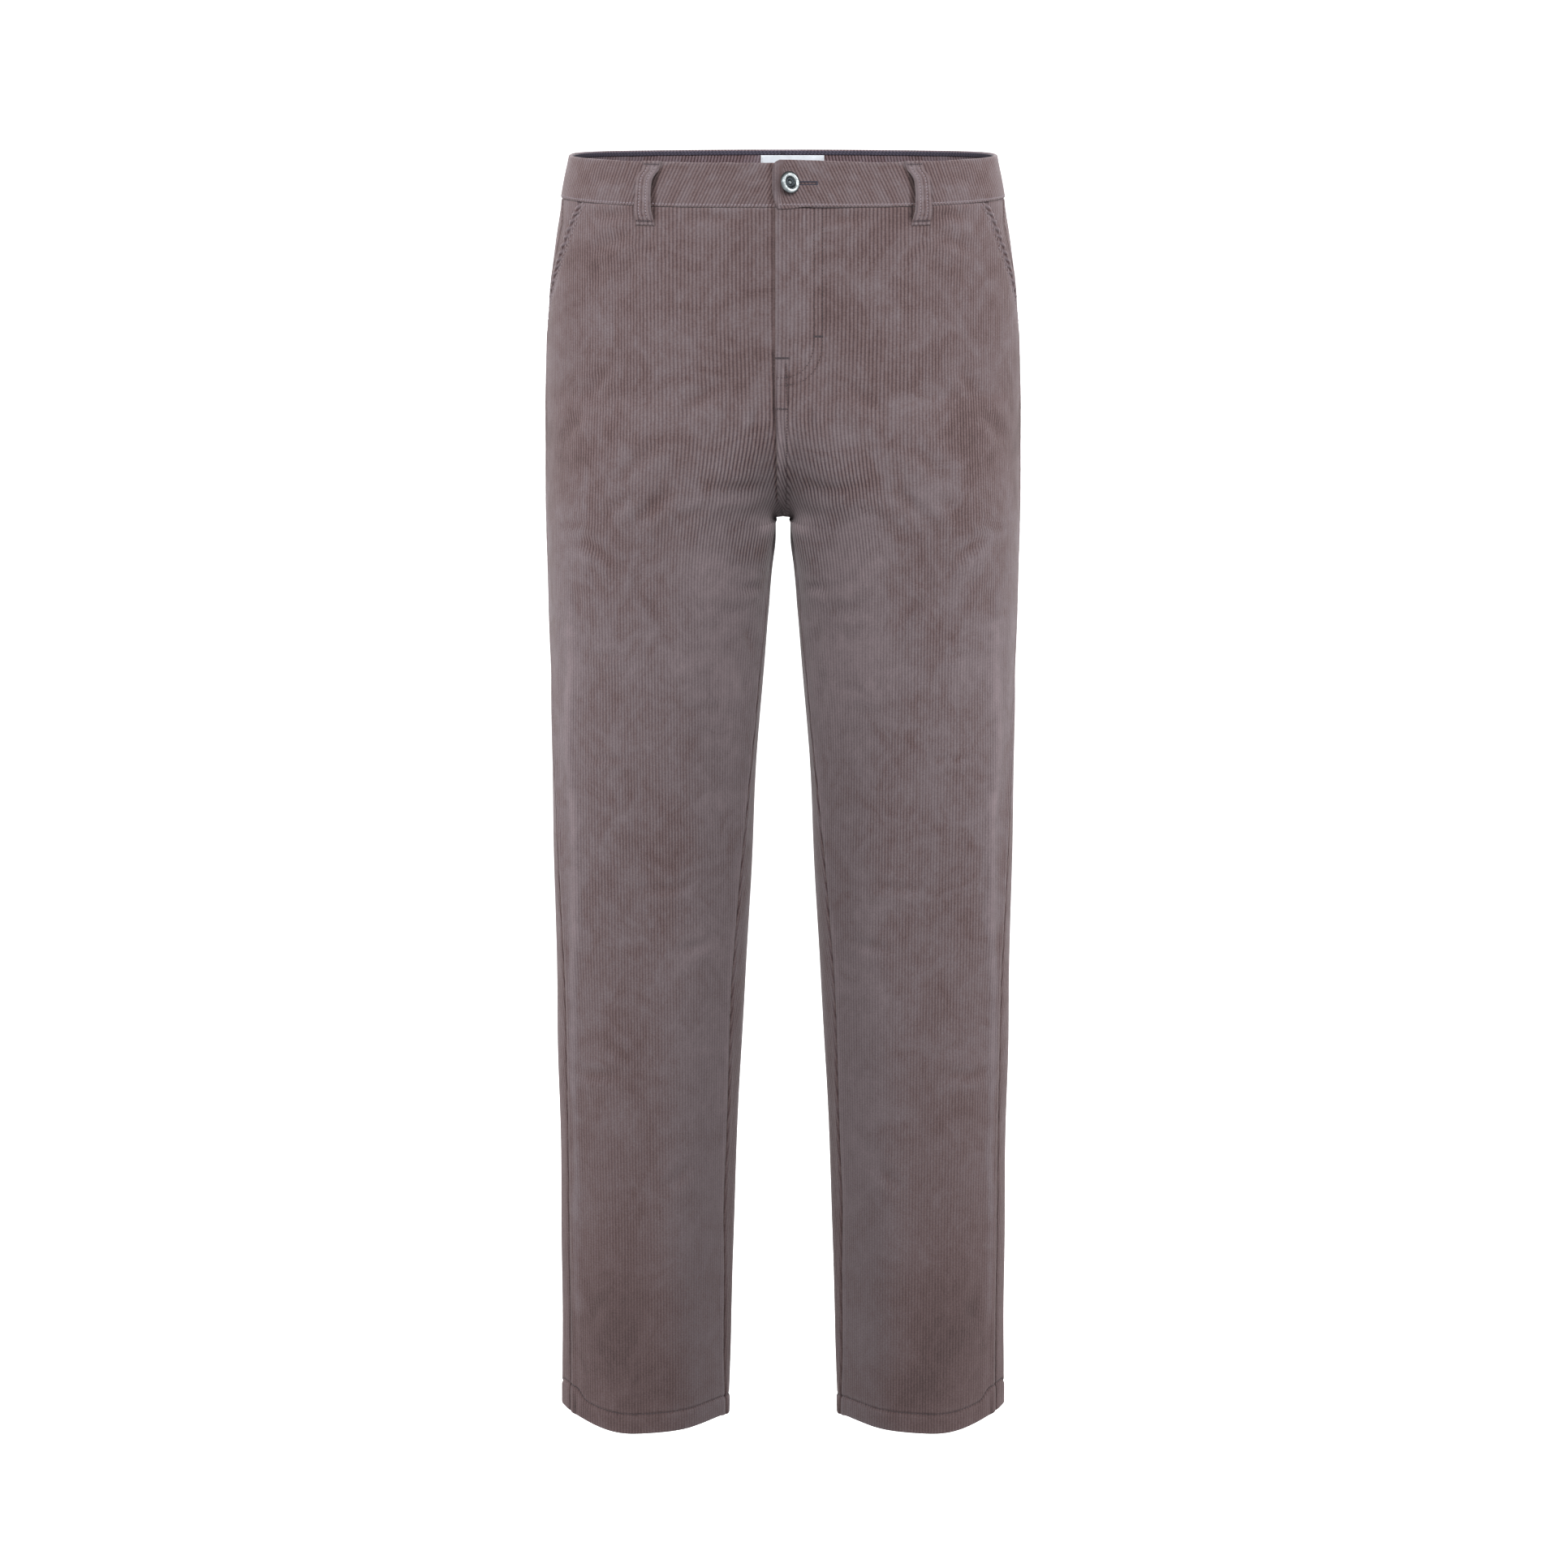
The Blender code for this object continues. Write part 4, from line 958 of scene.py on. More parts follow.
# ---------------- materials
def linear(hex_colour):
    """An sRGB hex value as linear red, green, blue and alpha."""
    values = np.array([int(hex_colour[place:place + 2], 16) for place in (1, 3, 5)]) / 255
    values = np.where(values <= 0.04045, values / 12.92, ((values + 0.055) / 1.055) ** 2.4)
    return (*values, 1.0)


def new_material(name):
    """An empty node material, and the one function that adds its nodes."""
    material = bpy.data.materials.new(name)
    material.use_nodes = True
    tree = material.node_tree
    tree.nodes.clear()

    def add_node(kind, inputs=(), **settings):
        """Settings are the node's properties; inputs are its sockets, each a value or the output it takes.

        A node given whole stands for its first output.
        """
        made = tree.nodes.new("ShaderNode" + kind)
        for setting, value in settings.items():
            setattr(made, setting, value)
        for socket, value in dict(inputs).items():
            if isinstance(value, bpy.types.Node):
                value = value.outputs[0]
            if isinstance(value, bpy.types.NodeSocket):
                tree.links.new(value, made.inputs[socket])
            else:
                made.inputs[socket].default_value = value
        return made

    return material, add_node


def corduroy(name, rib, furrow):
    """Cotton corduroy: weft pile cut into cords and brushed.

    The eye gets soft light cords over dark furrows, the furrows' dark partly the cloth's own and partly painted
    shade, clouds where the pile lies differently, tufts that break the cords crosswise, a paler and cooler hue
    where the pile is worn and where painted light is laid, and a bloom where it is seen edge on.
    """
    material, add_node = new_material(name)
    place = add_node("UVMap", uv_map="cloth")
    tone_and_painted_light = add_node("Attribute", attribute_name="tone_and_painted_light")
    # clouds of nap 45 mm across
    clouds = add_node("TexNoise", {"Vector": place, "Scale": 22.0, "Detail": 6.0, "Roughness": 0.66,
                                   "Distortion": 0.5}, noise_dimensions="2D")
    # crushed pile: patches some 8 mm wide and 13 mm long
    streak_scale = add_node("Mapping", {"Vector": place, "Scale": (120.0, 75.0, 1.0)})
    streaks = add_node("TexNoise", {"Vector": streak_scale, "Scale": 1.0, "Detail": 3.0, "Roughness": 0.6},
                       noise_dimensions="2D")
    # tufts of pile along each cord, about 2 mm across and 1.2 mm long: twice as coarse as real, to show
    tuft_scale = add_node("Mapping", {"Vector": place, "Scale": (480.0, 820.0, 1.0)})
    tufts = add_node("TexNoise", {"Vector": tuft_scale, "Scale": 1.0, "Detail": 2.0}, noise_dimensions="2D")
    # cords: a cosine across the cloth, its phase nudged so that no cord is ruled straight
    split = add_node("SeparateXYZ", {0: place})
    turns = add_node("Math", {0: split, 1: 2 * np.pi / WALE}, operation="MULTIPLY")
    nudge = add_node("Math", {0: streaks, 1: 1.4, 2: turns}, operation="MULTIPLY_ADD")
    wave = add_node("Math", {0: nudge}, operation="COSINE")
    cord = add_node("MapRange", {0: wave, 1: -1.0, 2: 0.6, 3: 0.0, 4: 1.0}, interpolation_type="SMOOTHSTEP")
    # the wash has marked the lower legs less
    marked = add_node("MapRange", {0: split.outputs[1], 1: -0.95, 2: -0.55, 3: 0.55, 4: 1.0})
    # where the pile is worn or wiped flat the cords hardly show; as this follows the tint, they also fade under
    # painted light
    worn = add_node("MapRange", {0: tone_and_painted_light.outputs["Fac"], 1: -0.12, 2: 0.45, 3: 1.2, 4: 0.45})
    rubbed = add_node("MapRange", {0: clouds, 1: 0.4, 2: 0.66, 3: 1.0, 4: 0.5})
    plain_show = add_node("Math", {0: worn, 1: rubbed}, operation="MULTIPLY")
    # round the crotch, an oval 95 mm by 105 mm each way, the cloth is pulled tight and its cords stand out
    where = add_node("TexCoord")
    from_crotch = add_node("Mapping", {"Vector": where.outputs["Object"], "Scale": (1 / 0.095, 0.0, 1 / 0.105),
                                       "Location": (0.0, 0.0, 0.275 / 0.105)})
    how_far = add_node("VectorMath", {0: from_crotch}, operation="LENGTH")
    tight = add_node("MapRange", {0: how_far.outputs["Value"], 1: 0.3, 2: 1.0, 3: 2.1, 4: 1.0})
    show_here = add_node("Math", {0: plain_show, 1: tight}, operation="MULTIPLY")
    show = add_node("Math", {0: show_here, 1: marked}, operation="MULTIPLY")
    level = add_node("Math", {0: cord, 1: 0.62}, operation="SUBTRACT")
    shown_cord = add_node("Math", {0: level, 1: show, 2: 0.62}, operation="MULTIPLY_ADD")
    # cord and furrow colours: the furrows' dark is partly the cloth's own and partly painted shade
    pile = add_node("Mix", {0: shown_cord, 6: linear(furrow), 7: linear(rib)}, data_type="RGBA",
                    clamp_factor=False)
    # brightness: 1 + streaks + clouds + tufts + the tint painted on the piece, which holds painted light and
    # shade as well as worn pile
    light_streak = add_node("MapRange", {0: streaks, 1: 0.25, 2: 0.75, 3: -0.12, 4: 0.12})
    light_cloud = add_node("MapRange", {0: clouds, 1: 0.3, 2: 0.7, 3: -0.16, 4: 0.18})
    light_tuft = add_node("MapRange", {0: tufts, 1: 0.2, 2: 0.8, 3: -0.16, 4: 0.16})
    sum_one = add_node("Math", {0: light_streak, 1: light_cloud}, operation="ADD")
    calmer = add_node("Math", {0: sum_one, 1: marked, 2: 1.0}, operation="MULTIPLY_ADD")
    sum_two = add_node("Math", {0: calmer, 1: light_tuft}, operation="ADD")
    sum_all = add_node("Math", {0: tone_and_painted_light.outputs["Fac"], 1: sum_two}, operation="ADD")
    bright = add_node("VectorMath", {0: pile.outputs[2], 1: sum_all}, operation="MULTIPLY")
    # worn pile has lost red dye, and the hollows keep it; the hue follows the whole brightness, so painted
    # light turns cooler and painted shade warmer
    fade_and_painted_light = add_node("MapRange", {0: sum_all, 1: 0.82, 2: 1.22, 3: 0.0, 4: 1.0})
    hue = add_node("Mix", {0: fade_and_painted_light, 6: linear("#FFF3F0"), 7: linear("#F6FCFF")}, data_type="RGBA")
    colour = add_node("VectorMath", {0: bright, 1: hue.outputs[2]}, operation="MULTIPLY")
    # relief: cords 0.4 mm high, tufts a third of that
    relief = add_node("Math", {0: tufts, 1: 0.35, 2: shown_cord}, operation="MULTIPLY_ADD")
    bump = add_node("Bump", {"Height": relief, "Strength": 0.55, "Distance": 0.4 * MM})
    shader = add_node("BsdfPrincipled", {
        "Base Color": colour, "Roughness": 0.92, "Diffuse Roughness": 0.8, "Specular IOR Level": 0.15,
        "Sheen Weight": 0.30, "Sheen Roughness": 0.40, "Sheen Tint": linear("#E9E2E3"), "Normal": bump})
    add_node("OutputMaterial", {"Surface": shader})
    return material


def woven(name, light, dark, thread, rough=0.85, sheen=0.05, bump_height=0.12):
    """Plain woven cloth: threads over and under, light where a thread rises and dark where it dips."""
    material, add_node = new_material(name)
    place = add_node("UVMap", uv_map="cloth")
    split = add_node("SeparateXYZ", {0: place})
    waves = []
    for axis in (0, 1):
        turns = add_node("Math", {0: split.outputs[axis], 1: np.pi / thread}, operation="MULTIPLY")
        waves.append(add_node("Math", {0: turns}, operation="SINE"))
    weave = add_node("Math", {0: waves[0], 1: waves[1]}, operation="MULTIPLY")
    part = add_node("MapRange", {0: weave, 1: -1.0, 2: 1.0, 3: 0.0, 4: 1.0})
    clouds = add_node("TexNoise", {"Vector": place, "Scale": 90.0, "Detail": 3.0}, noise_dimensions="2D")
    shade = add_node("MapRange", {0: clouds, 1: 0.25, 2: 0.75, 3: 0.92, 4: 1.08})
    mixed = add_node("Mix", {0: part, 6: linear(dark), 7: linear(light)}, data_type="RGBA")
    colour = add_node("VectorMath", {0: mixed.outputs[2], 1: shade}, operation="MULTIPLY")
    bump = add_node("Bump", {"Height": part, "Strength": 0.5, "Distance": bump_height * MM})
    shader = add_node("BsdfPrincipled", {"Base Color": colour, "Roughness": rough, "Specular IOR Level": 0.25,
                                         "Sheen Weight": sheen, "Sheen Roughness": 0.5, "Normal": bump})
    add_node("OutputMaterial", {"Surface": shader})
    return material


def sewing_thread(name, light, dark):
    """Spun polyester thread: two plies twisted together, a fine slanting light and dark along each stitch."""
    material, add_node = new_material(name)
    place = add_node("TexCoord")
    twist = add_node("TexNoise", {"Vector": place.outputs["Object"], "Scale": 1400.0, "Detail": 2.0})
    colour = add_node("Mix", {0: twist, 6: linear(dark), 7: linear(light)}, data_type="RGBA")
    shader = add_node("BsdfPrincipled", {
        "Base Color": colour.outputs[2], "Roughness": 0.6, "Specular IOR Level": 0.35, "Sheen Weight": 0.1})
    add_node("OutputMaterial", {"Surface": shader})
    return material


def aged_metal(name, light, dark, rough):
    """Plated zinc, antiqued and relieved: bright on high places, dark tarnish in speckles and hollows."""
    material, add_node = new_material(name)
    place = add_node("TexCoord")
    speckle = add_node("TexNoise", {"Vector": place.outputs["Object"], "Scale": 900.0, "Detail": 4.0,
                                    "Roughness": 0.65})
    cloud = add_node("TexNoise", {"Vector": place.outputs["Object"], "Scale": 220.0, "Detail": 2.0})
    tone_and_painted_light = add_node("Attribute", attribute_name="tone_and_painted_light")
    stain = add_node("Math", {0: speckle, 1: cloud}, operation="MULTIPLY")
    part = add_node("MapRange", {0: stain, 1: 0.10, 2: 0.34, 3: 0.35, 4: 1.0})
    high = add_node("Math", {0: part, 1: tone_and_painted_light.outputs["Fac"]}, operation="MULTIPLY")
    colour = add_node("Mix", {0: high, 6: linear(dark), 7: linear(light)}, data_type="RGBA")
    roughness = add_node("MapRange", {0: part, 1: 0.0, 2: 1.0, 3: rough + 0.2, 4: rough})
    bump = add_node("Bump", {"Height": speckle, "Strength": 0.2, "Distance": 0.03 * MM})
    shader = add_node("BsdfPrincipled", {"Base Color": colour.outputs[2], "Metallic": 1.0,
                                         "Roughness": roughness, "Normal": bump})
    add_node("OutputMaterial", {"Surface": shader})
    return material


CORDUROY = corduroy("brushed_cotton_corduroy", "#807172", "#5F5154")
CORDUROY_REVERSE = woven("corduroy_plain_reverse", "#75686C", "#5B4F53", 0.9 * MM)
POCKET_COTTON = woven("plain_weave_cotton", "#B9B0A6", "#978E84", 0.7 * MM)
NAVY_TAPE = woven("navy_cotton_tape", "#5D5968", "#35313F", 1.6 * MM)
LABEL_SATIN = woven("white_satin_label", "#EDF2F8", "#D8DFE8", 0.55 * MM, rough=0.42, sheen=0.2,
                    bump_height=0.05)
ZIP_TAPE = woven("polyester_zip_tape", "#5C5054", "#443A3E", 0.8 * MM, rough=0.7)
THREAD = sewing_thread("spun_thread_mauve", "#978B92", "#71666C")
# a darker copy of the same mauve thread: painted shade for the stitches that sit in grooves
THREAD_PAINTED_SHADE = sewing_thread("spun_thread_mauve_painted_shade", "#463A3F", "#30272B")
THREAD_NAVY = sewing_thread("spun_thread_navy", "#3D3A49", "#211F2A")
THREAD_WHITE = sewing_thread("spun_thread_white", "#E4E7EA", "#C6CACF")
ANTIQUE_SILVER = aged_metal("antique_silver_plate", "#A9B0B2", "#2B3034", 0.36)
ZIP_BRASS = aged_metal("antique_brass", "#9C8A66", "#4A3F2C", 0.35)


# ---------------- the leg panels
MEETING = -0.02 * MM          # x of an edge sewn to the other half, so that no light shows through the seam
LOOP_FOOT = -16.0             # mm above the waist seam
LOOP_TOP = 36.3
LOOP_TOP_BEHIND = 34.0
LOOP_SHARE = share_at_x(WAIST_SEAM, 117.5 * MM)


def loop_size(name, above):
    """A column of the loop's table, in metres."""
    return along(LOOP_SHAPE, name, above, first="above") * MM


def loop_painted_shadow(height, distance):
    """Painted shadow beside and under the front belt loops."""
    above = height - WAIST_SEAM
    middle = LOOP_SHARE * front_length(height) - loop_size("shift", above)
    edge = middle - loop_size("width", above) / 2
    stands = rises(above - LOOP_FOOT * MM, 2, 6) * falls(above, 33, 8)
    return -0.58 * hump(distance - edge, -0.9, 1.7) * stands


def panel_columns(near, far, count):
    """Distances across a panel: close together beside both edges, spread evenly between."""
    part = np.linspace(0.0, 1.0, count)[1:-1]
    return np.concatenate((near, near[:, -1:] + (far[:, :1] - near[:, -1:]) * part, far), axis=1)


def make_panel(name, left, heights, shares, shape, across, joined, edge, from_side, from_seam, place):
    """One leg panel, its hem turned up inside, its edge kept in the seam that joins it to the other half."""
    relief, tint = shape
    outer = skin(heights, shares, relief)
    hidden = rounded_edge(heights - HEM_HEIGHT, FOLDED_HEM / 2)
    inner = skin(heights, shares, relief - 2 * hidden - wall_inside(heights))
    for face in (outer, inner):
        face[..., 0] = np.where(joined, np.maximum(face[..., 0], SEAM / 2), face[..., 0])
        face[joined[:, edge], edge, 0] = MEETING
    cloth = np.stack((across + OTHER_CLOUDS * left, heights), axis=-1)
    piece = shell(name + "_panel", outer, inner, [CORDUROY, CORDUROY_REVERSE], cloth, tint, mirror=not left)
    smooth_by_crotch(piece, heights, from_side, from_seam, place, not left)
    as_cloth(name, "corduroy", skin(heights, shares))


def build_front(name, left):
    """A front leg panel, from the centre front or inside leg seam round to the side seam."""
    heights = ROWS[:, None]
    inner_edge, outer_edge = front_edges(heights, left)
    distance = panel_columns(inner_edge + FLY_COLUMNS, outer_edge - EDGE_COLUMNS[::-1], 54)
    heights, distance = with_hem_line(np.broadcast_to(heights, distance.shape), distance,
                                      lambda level: front_edges(level, left), front_length(heights) - distance)
    shares = distance / front_length(heights)
    across = cord_lie(heights, skin(heights, shares)[..., 0], distance - at_height(FRONT_GRAIN, heights), True)
    joined = (heights <= (STRIP_END if left else LAP_END)) & (heights > CROTCH)

    def place(level, from_side):
        return front_point(level, front_length(level) - from_side, left)

    make_panel(name, left, heights, shares, front_shape(heights, distance, left), across, joined, 0,
               front_length(heights) - distance, distance, place)


def cord_lie(heights, x, across, front):
    """Where the cloth lies across its cords: its length from the grain line, except near the crotch.

    There the cords lean away from the middle going down, and in front they also keep their spacing in x.
    Inside the grain line they are spread by an eighth, so that the lean doesn't crowd them.
    """
    leaning = 25 * MM * falls(heights, -190, 155) * (1 - rises(np.abs(x), 0, 150))
    even = 0.7 * front * rises(GRAIN_X - x, 0, 50) * falls(heights, -110, 80) * rises(heights, -520, 180)
    spread = across - 0.12 * np.minimum(across, 0.0)
    return spread + (0.88 * (x - GRAIN_X) - spread) * even - leaning


def smooth_by_crotch(piece, heights, from_side, from_seam, place, mirror):
    """Shade the thighs softly where the seat divides into legs, as cloth rounds what the sections turn sharply.

    The slope at a point is the step round the body crossed with the step up it, 1 mm and 9 mm each way.
    """
    beside = rises(from_seam, 9, 12) * falls(np.abs(heights - CROTCH), 17, 7)
    chosen = beside > 0
    level = heights[chosen]
    side = from_side[chosen]
    outward = np.cross(place(level, side + 1 * MM) - place(level, side - 1 * MM),
                       place(level + 9 * MM, side) - place(level - 9 * MM, side))
    outward /= np.linalg.norm(outward, axis=-1, keepdims=True)
    if mirror:
        outward = outward * OTHER_SIDE
    mesh = piece.data
    flat = np.zeros(3 * len(mesh.vertices), np.float32)
    mesh.vertex_normals.foreach_get("vector", flat)
    normals = flat.reshape(-1, 3)
    part = beside[chosen][:, None]
    for first in (0, heights.size):
        index = np.nonzero(chosen.ravel())[0] + first
        turned = np.sign(np.sum(normals[index] * outward, axis=1, keepdims=True))
        mixed = normals[index] * (1 - part) + outward * turned * part
        normals[index] = mixed / np.linalg.norm(mixed, axis=1, keepdims=True)
    mesh.normals_split_custom_set_from_vertices(normals)


def build_back(name, left):
    """A back leg panel, from the side seam round to the centre back and the inside leg seam."""
    heights = ROWS[:, None]
    length = back_length(heights)
    distance = panel_columns(SEAM / 2 + EDGE_COLUMNS + 0 * length, length - SEAM / 2 - EDGE_COLUMNS[::-1], 78)
    heights, distance = with_hem_line(np.broadcast_to(heights, distance.shape), distance,
                                      lambda level: (SEAM / 2, back_length(level) - SEAM / 2), distance)
    shares = 1 + distance / back_length(heights)
    across = -cord_lie(heights, skin(heights, shares)[..., 0], at_height(BACK_GRAIN, heights) - distance, False)
    make_panel(name, left, heights, shares, back_shape(heights, distance), across, heights > CROTCH, -1,
               distance, back_length(heights) - distance, back_point)


build_front("front_left", True)
build_front("front_right", False)
build_back("back_left", True)
build_back("back_right", False)


# ---------------- the waistband
BAND_TOP = WAIST_SEAM + BAND_HEIGHT


def band_rows():
    """Heights above the waist seam: close together at both edges and at the buttonhole."""
    edge = np.array((0.0, 0.25, 0.6, 1.1, 1.8, 2.7, 3.9))
    slit = BUTTON_HEIGHT / MM + np.array((-2.6, -1.7, -1.1, -0.45, 0.45, 1.1, 1.7, 2.6))
    plain = np.array((5.4, 7.2, 9.2, 11.4, 13.8, 23.2, 25.0, 27.0, 29.0, 30.7))
    return np.sort(np.concatenate((edge, 36 - edge, slit, plain))) * MM


def band_columns(length, rest):
    """Distances round a band half from the centre front: every 2.2 mm, closer at both ends and the slit's."""
    first = np.array((0.25, 0.6, 1.1, 1.8, 2.7, 3.9, 5.4)) * MM
    slit = np.array((SLIT_END - 1.2 * MM, SLIT_END, SLIT_END + 1.2 * MM))
    plain = np.arange(7.4 * MM, length + rest - 9 * MM, 2.2 * MM)
    last = length + rest - SEAM / 2 - np.array((6.5, 4.4, 2.8, 1.6, 0.8, 0.3, 0.0)) * MM
    clear = (np.min(np.abs(plain[:, None] - slit), axis=1) > 0.7 * MM) & (plain < last[0] - 1 * MM)
    return first, np.sort(np.concatenate((plain[clear], slit))), last


def band_lift(distance, left):
    """The left end of the band is lifted over the right one."""
    return BAND_LIFT * (1 - rises(distance, 29, 45)) if left else 0 * distance


def band_reach(height, left):
    """How far the front end of the band passes the centre, rounded at the top corner of the left one."""
    if left:
        return BAND_LAP * along(BAND_END, "lap", height - WAIST_SEAM, first="above")
    return BAND_UNDER + 0 * height


def band_shape(height, distance, left):
    """Relief and pile tint of the band's outer face."""
    height, distance = np.broadcast_arrays(height, distance)
    above = height - WAIST_SEAM
    from_end = distance + band_reach(height, left)
    folds = fold_relief(BAND_LEFT_FOLDS if left else BAND_RIGHT_FOLDS, distance, above)
    rolls = 0.25 * MM * soft_rolls(2.2 * distance, 2 * above, 1.1 if left else 2.4)
    bottom = -0.5 * MM * np.clip(1 - above / (1.0 * MM), 0, 1) ** 2 + groove(above - 2.2 * MM, 0.8, 0.22)
    seam_pull = 0.12 * MM * ripple(distance, (0.0058, 0.0103, 0.0171), 0.4) * hump(above, 1.5, 3)
    relief = folds + rolls + bottom + seam_pull + band_lift(distance, left)
    if left:
        slit = rises(distance, 8, 4) * rises(SLIT_END + 2 * MM - distance, 0, 4)
        relief = relief + groove(above - BUTTON_HEIGHT, 1.5, 1.0) * slit
        relief = relief - 0.8 * MM * hump(distance - BUTTON_X, 0, 8) * hump(above - BUTTON_HEIGHT, 0, 8)
    # painted shade in the creases of the band and painted light on their shoulders
    tint = 70.0 * folds + 0.10 * hump(above, 35, 1.6) + 0.13 * hump(above, 1.3, 1.3)
    # painted shadow of the belt loops
    tint = tint + loop_painted_shadow(height, distance)
    if left:
        tint = tint + 0.12 * hump(from_end, 2, 1.8) - 0.08 * hump(from_end, 5, 1.6)
        # painted shade along the buttonhole slit
        tint = tint - 0.30 * hump(above - BUTTON_HEIGHT, 0, 1.5) * slit
    else:
        # painted shadow cast by the lapped end of the left band
        tint = tint - 0.40 * hump(distance - BAND_LAP, 1.2, 1.6)
    return relief, tint


def band_share(height, distance):
    """Share of the way round for a distance from the centre front, on past the side seam."""
    length = front_length(height)
    rest = back_length(height)
    return np.where(distance < length, distance / length, 1 + (distance - length) / rest)


def build_band(name, left):
    """Half of the folded band: rounded over the top and at its free end, with a slit through the left half."""
    above = band_rows()
    heights = (WAIST_SEAM + above)[:, None]
    length = front_length(heights)
    rest = back_length(heights)
    middle_length = float(length.mean())
    middle_rest = float(rest.mean())
    first, plain, last = band_columns(middle_length, middle_rest)
    scale = (length + rest) / (middle_length + middle_rest)
    reach = band_reach(heights, left)
    lead = np.linspace(0.0, 1.0, 4 if left else 11)[1:-1]
    start = -reach + np.concatenate(([0.0], first))
    bridge = start[:, -1:] + (plain[:1] - start[:, -1:]) * lead
    stretch = 1 + rises(plain, 60, 60) * (scale - 1)
    distance = np.concatenate((start, bridge, plain * stretch, last * scale), axis=1)
    if left:
        rise = 2.4 * MM * (1 - rises(distance, -4, 90))
        drop = 1.6 * MM * (1 - rises(distance, 2, 16))
        part = (heights - WAIST_SEAM) / BAND_HEIGHT
        heights = heights + rise * part - drop * (1 - part)
    heights = np.broadcast_to(heights, distance.shape)
    shares = band_share(heights, distance)
    relief, tint = band_shape(heights, distance, left)
    half = (BAND_IN + BAND_OUT) / 2
    over = rounded_edge(BAND_TOP - WAIST_SEAM - above[:, None] + 0 * heights, half)
    if left:
        over = np.minimum(over, rounded_edge(distance + reach, half))
    outer = skin(heights, shares, BAND_OUT + relief + over)
    hold = band_lift(distance, left) + 0.6 * (relief - band_lift(distance, left))
    inner = skin(heights, shares, hold - BAND_IN - over)
    outer[:, -1, 0] = MEETING
    inner[:, -1, 0] = MEETING
    lean = 0.50 - 0.12 * rises(distance, 60, 80)
    if left:
        lean = lean * rises(distance, -5.5, 7)
    cloth = np.stack((distance + lean * (heights - WAIST_SEAM), heights - WAIST_SEAM), axis=-1)
    present = np.ones((distance.shape[0] - 1, distance.shape[1] - 1), bool)
    if left:
        middle_row = np.argmin(np.abs(above - (BUTTON_HEIGHT - SLIT_HALF)))
        row_distance = distance[middle_row]
        open_columns = (row_distance[:-1] > SLIT_START) & (row_distance[1:] < SLIT_END + 0.1 * MM)
        present[middle_row, open_columns] = False
    piece = shell(name + "_band", outer, inner, [CORDUROY, CORDUROY_BAND_INSIDE], cloth, tint,
                  mirror=not left, present=present)
    as_cloth(name, "corduroy", skin(heights, shares))


# a copy of the band's corduroy with paler cords: painted light on the facing inside the waist
CORDUROY_BAND_INSIDE = corduroy("corduroy_band_facing", "#94838A", "#5E4F52")
build_band("waistband_left", True)
build_band("waistband_right", False)


def build_binding(name, left):
    """The tape that binds the raw edge of the band facing: a narrow strip inside the top of the band."""
    across = np.array((0.0, 0.5, 1.1, 2.0, 2.8, 3.2)) * MM
    heights = (BAND_TOP - 0.9 * MM - across[::-1])[:, None]
    total = front_length(heights) + back_length(heights)
    start = 2 * MM if left else -18 * MM
    distance = start + (total - SEAM / 2 - start) * np.linspace(0.0, 1.0, 190)
    heights = np.broadcast_to(heights, distance.shape)
    shares = band_share(heights, distance)
    over = rounded_edge(BAND_TOP - heights, (BAND_IN + BAND_OUT) / 2)
    base = band_lift(distance, left) - BAND_IN - over
    wave = 0.15 * MM * ripple(distance, (0.019, 0.011, 0.043), 0.8)
    outer = skin(heights, shares, base - 0.05 * MM)
    inner = skin(heights, shares, base - 0.75 * MM + wave)
    outer[:, -1, 0] = MEETING
    inner[:, -1, 0] = MEETING
    cloth = np.stack((distance, heights), axis=-1)
    piece = shell(name, outer, inner, [NAVY_TAPE], cloth, np.zeros(heights.shape), mirror=not left)
    (_, length), area = flat_cut(np.swapaxes(skin(heights, shares), 0, 1))


# ---------------- belt loops
def loop_grid(share, lean, heights, across):
    """Heights, shares and standing-off of a belt loop, from its own table."""
    above = heights - WAIST_SEAM
    shift = loop_size("shift", above) * lean
    off = loop_size("off", above) + BAND_OUT * rises(above, -12, 8)
    width = loop_size("width", above)
    length = at_height(FRONT_LENGTH if share < 1 else BACK_LENGTH, heights)
    shares = (share - shift / length)[:, None] + across * (width / length)[:, None]
    return np.broadcast_to(heights[:, None], shares.shape), shares, off[:, None]


